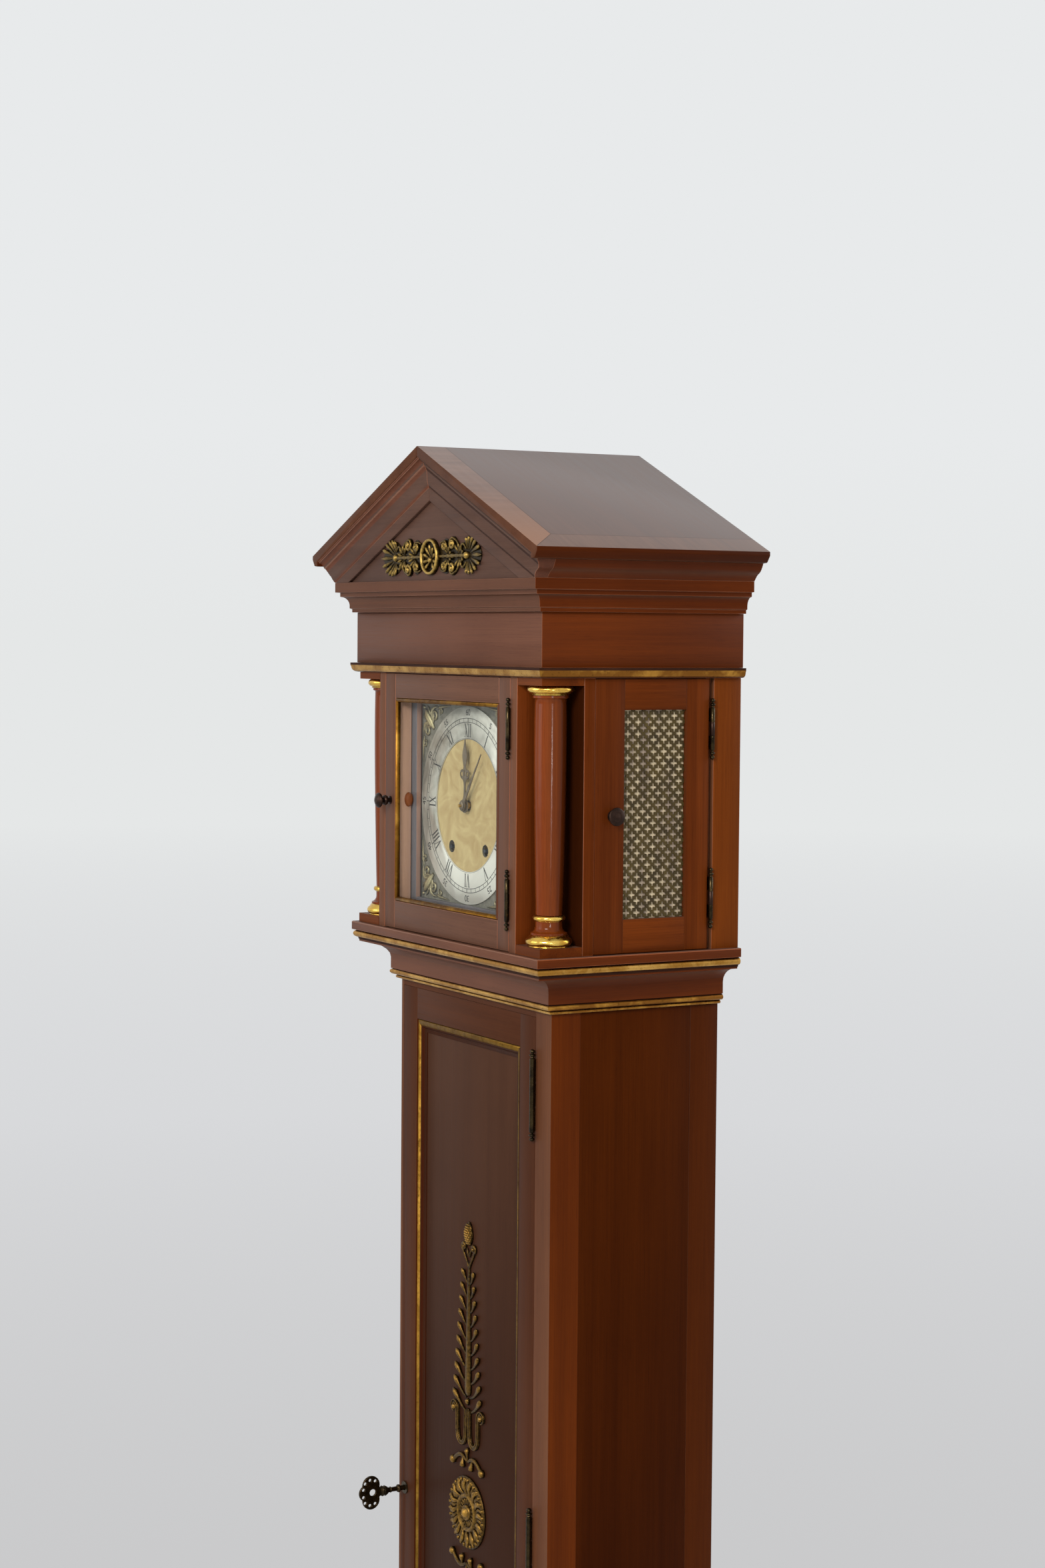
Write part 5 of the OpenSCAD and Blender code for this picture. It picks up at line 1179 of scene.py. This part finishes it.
def spandrels():
    """Leafy scrolls in the four corners of the dial."""
    bm = bmesh.new()
    corners = Relief(bm, (0, PLATE_Y, DIAL_Z), CORNERS)
    for points, widths in (
        ([(86, 86, 0.4), (92, 94, 0.8), (98, 100, 1.0), (104, 105, 1.0), (109, 109, 0.4)],
         [2.0, 3.6, 4.2, 3.2, 1.0]),
        (level(spiral(101, 84, 7.4, 1.6, 120, -330, 20), 0.8), (1.2, 2.0, 1.0)),
        ([(98, 92, 0.6), (104, 93, 0.9), (109, 90, 0.9), (112, 84, 0.6), (112.5, 77, 0.3)],
         [1.4, 2.2, 2.4, 1.8, 0.8]),
        (level(spiral(107, 68, 4.4, 1.2, 150, -260, 16), 0.7), (1.0, 1.7, 0.8)),
        ([(110, 77, 0.5), (112, 70, 0.8), (112.6, 62, 0.7), (113.4, 54, 0.5), (114.2, 46, 0.2)],
         [1.2, 1.9, 1.7, 1.2, 0.5]),
        ([(90, 90, 0.5), (88, 96, 0.8), (88, 102, 0.8), (90, 108, 0.4)], [1.0, 1.9, 1.8, 0.7]),
        ([(96, 99, 0.5), (97, 105, 0.8), (100, 110, 0.7), (104, 113, 0.3)], [1.0, 1.8, 1.6, 0.6]),
    ):
        corners.stroke(points, widths, 0.6)
        corners.stroke([(z, x, lift) for x, z, lift in points], widths, 0.6)
    corners.stud([(0, 0), (3.6, 0), (3.4, 1.6), (0, 2.6)], 94, 94, 16)
    corners.stud([(0, 0), (2.2, 0), (2.0, 1.4), (0, 2.2)], 111, 111, 14)
    finish_mesh("dial_spandrels", bm, [SPANDREL], "case", (), 70)


engraving()
for minute in range(5, 65, 5):
    minute_number(minute)
dial()
spandrels()


# Hands


def hand(y, outline, holes, turn):
    """Plate of a hand with its front face at y, turned about the dial's centre."""
    place = Matrix.Translation((0, y + 0.6, DIAL_Z)) @ turn_to("Y", turn)
    return filled([outline] + holes, 1.2, place @ turn_to("X", 90), 0.25)


def hour_hand():
    half = [(8.5, 0.0), (7.4, 4.4), (3.4, 8.0), (2.0, 12), (1.7, 22), (2.4, 27.5), (4.4, 30.2), (7.6, 31),
            (10.2, 33.4), (11.0, 37), (9.6, 40.6), (6.6, 42.0), (4.4, 41.2), (3.0, 42.6), (2.4, 45.5),
            (3.4, 49), (5.0, 53.5), (5.7, 57.5), (5.0, 62), (3.2, 67), (1.6, 72), (0.4, 77)]
    outline = arc(0, 0, 8.5, 8.5, 205, 335, 10) + half + mirrored(half)
    eye = circle(6.9, 36.4, 2.5, 18, 2.9)
    drop = [(0, 33.5), (1.5, 36.5), (1.1, 40), (0, 42.2), (-1.1, 40), (-1.5, 36.5)]
    bm = hand(-84.7, outline, [eye, mirrored(eye), circle(0, 0, 4.5, 24), drop], 0)
    finish_mesh("hour_hand_plate", bm, [HAND], "hour", ("hour_hand",), 30)


def minute_hand():
    """The hand with its turned collet."""
    half = [(6.2, 2.4), (3.2, 6.4), (2.3, 10), (2.2, 24), (2.6, 27), (1.9, 31), (1.3, 40), (0.95, 60),
            (0.4, 75.6)]
    outline = arc(0, 0, 6.5, 6.5, 200, 340, 12) + half + mirrored(half)
    bm = hand(-87.9, outline, [circle(0, 0, 3.1, 24)], 36)
    collet = [(1.9, 0.3), (5.0, 0.3), (5.2, 0.7), (4.4, 1.3), (2.6, 1.6), (1.9, 1.6)]
    lathe(bm, collet, facing(0, -88.0, DIAL_Z), 32)
    finish_mesh("minute_hand_plate", bm, [HAND], "minute", ("minute_hand",), 30)


hour_hand()
minute_hand()


# Key with its pierced bow, and the lock


def key():
    """Turned stem, and a bow cut as one trefoil plate with a large hole and a row of small ones."""
    x, y, z = KEYHOLE
    bow = -118.0
    outline = []
    for a in turns(72):
        u, v = math.cos(a), math.sin(a)
        reach = 0.0
        for dy, dz, r in ((0.0, 9.2, 11.4), (0.0, -9.2, 11.4), (-6.0, 0.0, 10.0), (9.5, 0.0, 6.0)):
            along = dy * u + dz * v
            inside = along * along - dy * dy - dz * dz + r * r
            if inside > 0:
                reach = max(reach, along + math.sqrt(inside))
        outline.append((bow + reach * u, reach * v))
    holes = [circle(-116.0, 0, 4.2, 18)]
    for u, w in ((-112.6, 14.0), (-119.6, 15.6), (-126.2, 12.0), (-128.4, 4.6)):
        holes += [circle(u, -w, 2.0, 12), circle(u, w, 2.0, 12)]
    place = Matrix(((0, 0, 1, x), (1, 0, 0, 0), (0, 1, 0, z), (0, 0, 0, 1)))
    bm = filled([outline] + holes, 3.0, place, 0.5)
    stem = [(0, -20), (2.9, -20), (3.0, -19.5), (3.0, 8), (4.6, 8.4), (5.0, 9.6), (4.4, 11), (2.9, 12),
            (2.8, 19), (3.8, 20.6), (3.0, 22), (3.6, 24), (5.2, 26), (6.4, 28.4), (5.6, 30.4), (6.6, 32),
            (5.0, 34.4), (0, 35)]
    lathe(bm, stem, facing(x, y, z), 24)
    prism(bm, [(x - 1, z - 5.8), (x + 1, z - 5.8), (x + 1, z - 2), (x - 1, z - 2)], y + 14, y + 19.6)
    finish_mesh("trunk_key", bm, [KEY_BRONZE], "key", ("trunk_door_key",), 50)


key()
dress("trunk_door_lock", "lock_and_escutcheon", [BRONZE], smooth=35)
dress("lock_bolt", "bolt", [STEEL], bevel=0.3)


# Movement, weights, lines


def square_paint(middle, normal):
    """Steel for the winding square in front of the plates."""
    return 1 if middle.y < -55 else 0


def by_pendulum(low, size):
    """Brass for the wide parts of the pendulum, steel for the slim ones."""
    return 0 if size.x > 12 else 1


def by_weight(low, size):
    """Brass for the wide parts of a weight and its pulley, steel for the slim ones."""
    return 0 if min(size.x, size.z) > 15 else 1


for node, name in (("movement_plates", "plates"), ("plate_pillars", "pillars"), ("bell", "bell_and_stand"),
                   ("centre_arbor", "centre_train"), ("hour_wheel", "hour_train"),
                   ("minute_wheel", "motion_train"), ("great_wheel", "great_train"),
                   ("intermediate_wheel", "intermediate_train"), ("third_wheel", "third_train"),
                   ("escape_wheel", "escape_train")):
    dress(node, name, [BRASS], smooth=32)
for node, name in (("anchor_and_crutch", "anchor"), ("strike_hammer", "hammer_and_arbor")):
    dress(node, name, [STEEL], smooth=32)
dress("pendulum", "pendulum_assembly", [BRASS, STEEL], by_pendulum, smooth=32)
for side in ("going", "strike"):
    dress(side + "_barrel", side + "_drum", [BRASS, DARK_STEEL], smooth=32,
          paint=square_paint)
    dress(side + "_weight", side + "_weight_and_pulley", [BRASS, STEEL], by_weight,
          smooth=32)


def line_run(name, x, z0, z1, stands_for):
    """One run of a gut line, laid of three strands."""
    rings = []
    for i, q in enumerate(steps(120)):
        section = []
        for a in turns(9):
            r = 0.72 + 0.08 * math.cos(3 * a - i * 0.9)
            section.append((x + r * math.cos(a), -6 + r * math.sin(a), z0 + (z1 - z0) * q))
        rings.append(section)
    bm = bmesh.new()
    loft(bm, rings)
    obj = finish_mesh(name, bm, [GUT], "case", stands_for, 60)
    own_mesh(obj)


for side, s in (("going", 1), ("strike", -1)):
    line_run(side + "_line_outer", 63.7 * s, 521.5, 1774.0, (side + "_line",))
    line_run(side + "_line_inner", 21.7 * s, 521.5, 1692.4, ())


# Floor, light and camera


def floor():
    """Pale floor that runs into the background. The part's shadow stays on it."""
    s = Shader("pale_floor", 0.8)
    s.put("Base Color", s.ramp(s.noise(3.0, 2.0, 0.5), (0.3, rgb(232, 234, 236)), (0.7, BACKDROP)))
    s.put("Specular IOR Level", 0.0)
    path = s.node("ShaderNodeLightPath").outputs
    away = s.math("SQRT", s.math("ADD", s.math("POWER", s.axis("X"), 2.0), s.math("POWER", s.axis("Y"), 2.0)))
    tones = s.ramp(s.grey(away, 2.5, 26.0), (0.0, rgb(201, 201, 202)), (0.25, rgb(216, 217, 219)),
                   (1.0, HORIZON))
    glow = s.node("ShaderNodeEmission", {"Strength": 1.0, "Color": tones})
    seen = s.math("MAXIMUM", path["Is Camera Ray"], path["Is Transmission Ray"])
    seen = s.times(seen, s.grey(away, 0.5, 2.4, 0.35, 1.0))
    reflected = s.times(path["Is Glossy Ray"], s.grey(away, 2.0, 7.0, 0.2, 1.0))
    share = s.math("MAXIMUM", seen, reflected)
    s.surface(s.blend(share, s.main.outputs["BSDF"], glow.outputs["Emission"]))
    r = 30.0
    mesh = bpy.data.meshes.new("floor")
    mesh.from_pydata([(-r, -r, 0), (r, -r, 0), (r, r, 0), (-r, r, 0)], [], [(0, 1, 2, 3)])
    mesh.materials.append(s.mat)
    obj = bpy.data.objects.new("floor", mesh)
    bpy.context.scene.collection.objects.link(obj)


def world():
    """A pale backdrop where it is seen, and a weaker light from all around."""
    w = bpy.data.worlds.new("studio")
    bpy.context.scene.world = w
    w.use_nodes = True
    w.node_tree.nodes.clear()
    s = Nodes(w.node_tree)
    path = s.node("ShaderNodeLightPath").outputs
    sky = s.ramp(s.axis("Z", "Generated"), (0.0, HORIZON), (0.07, BACKDROP))
    seen = s.node("ShaderNodeBackground", {"Strength": 1.0, "Color": sky})
    light = s.node("ShaderNodeBackground", {"Strength": 0.5, "Color": (0.94, 0.97, 1.0, 1.0)})
    share = s.math("MAXIMUM", path["Is Camera Ray"], path["Is Glossy Ray"])
    share = s.math("MAXIMUM", share, path["Is Transmission Ray"])
    both = s.blend(share, light.outputs["Background"], seen.outputs["Background"])
    s.node("ShaderNodeOutputWorld", {"Surface": both})


def lamp(name, place, target, power, size, colour, height=None):
    data = bpy.data.lights.new(name, "AREA")
    data.energy = power
    data.size = size
    if height:
        data.shape = "RECTANGLE"
        data.size_y = height
    data.color = colour
    obj = bpy.data.objects.new(name, data)
    bpy.context.scene.collection.objects.link(obj)
    obj.location = place
    obj.rotation_mode = "QUATERNION"
    obj.rotation_quaternion = (Vector(target) - Vector(place)).to_track_quat("-Z", "Y")


def camera(place, yaw, pitch, roll, lens):
    """A camera at place, in metres, turned by yaw, pitch and roll, in radians."""
    data = bpy.data.cameras.new("view")
    data.sensor_width = 36.0
    data.lens = lens
    data.clip_start = 0.05
    data.clip_end = 60.0
    obj = bpy.data.objects.new("view", data)
    bpy.context.scene.collection.objects.link(obj)
    ahead = Vector((-math.sin(yaw) * math.cos(pitch), math.cos(yaw) * math.cos(pitch), math.sin(pitch)))
    right = Vector((math.cos(yaw), math.sin(yaw), 0))
    down = ahead.cross(right)
    right_turned = right * math.cos(roll) + down * math.sin(roll)
    down_turned = down * math.cos(roll) - right * math.sin(roll)
    turn = Matrix((right_turned, -down_turned, -ahead)).transposed()
    obj.matrix_world = Matrix.Translation(place) @ turn.to_4x4()
    bpy.context.scene.camera = obj


floor()
world()
lamp("key", (2.6, -3.2, 3.4), (0, 0, 1.4), 140.0, 1.3, (1.0, 0.97, 0.92))
lamp("fill", (-1.2, -4.2, 2.6), (0, 0, 1.4), 50.0, 2.4, (0.97, 0.98, 1.0))
lamp("window", (3.9, -1.28, 1.72), (0.2, -0.09, 1.8), 17.0, 0.07, (1.0, 1.0, 1.0), 0.6)
lamp("rear", (0.6, 3.6, 3.0), (0, 0, 1.2), 60.0, 2.4, (1.0, 1.0, 1.0))
camera((2.83793, -1.61414, 2.02406), yaw=1.0556001, pitch=-0.0540629, roll=-0.0077950, lens=64.08)
bpy.context.scene.view_settings.view_transform = "Standard"
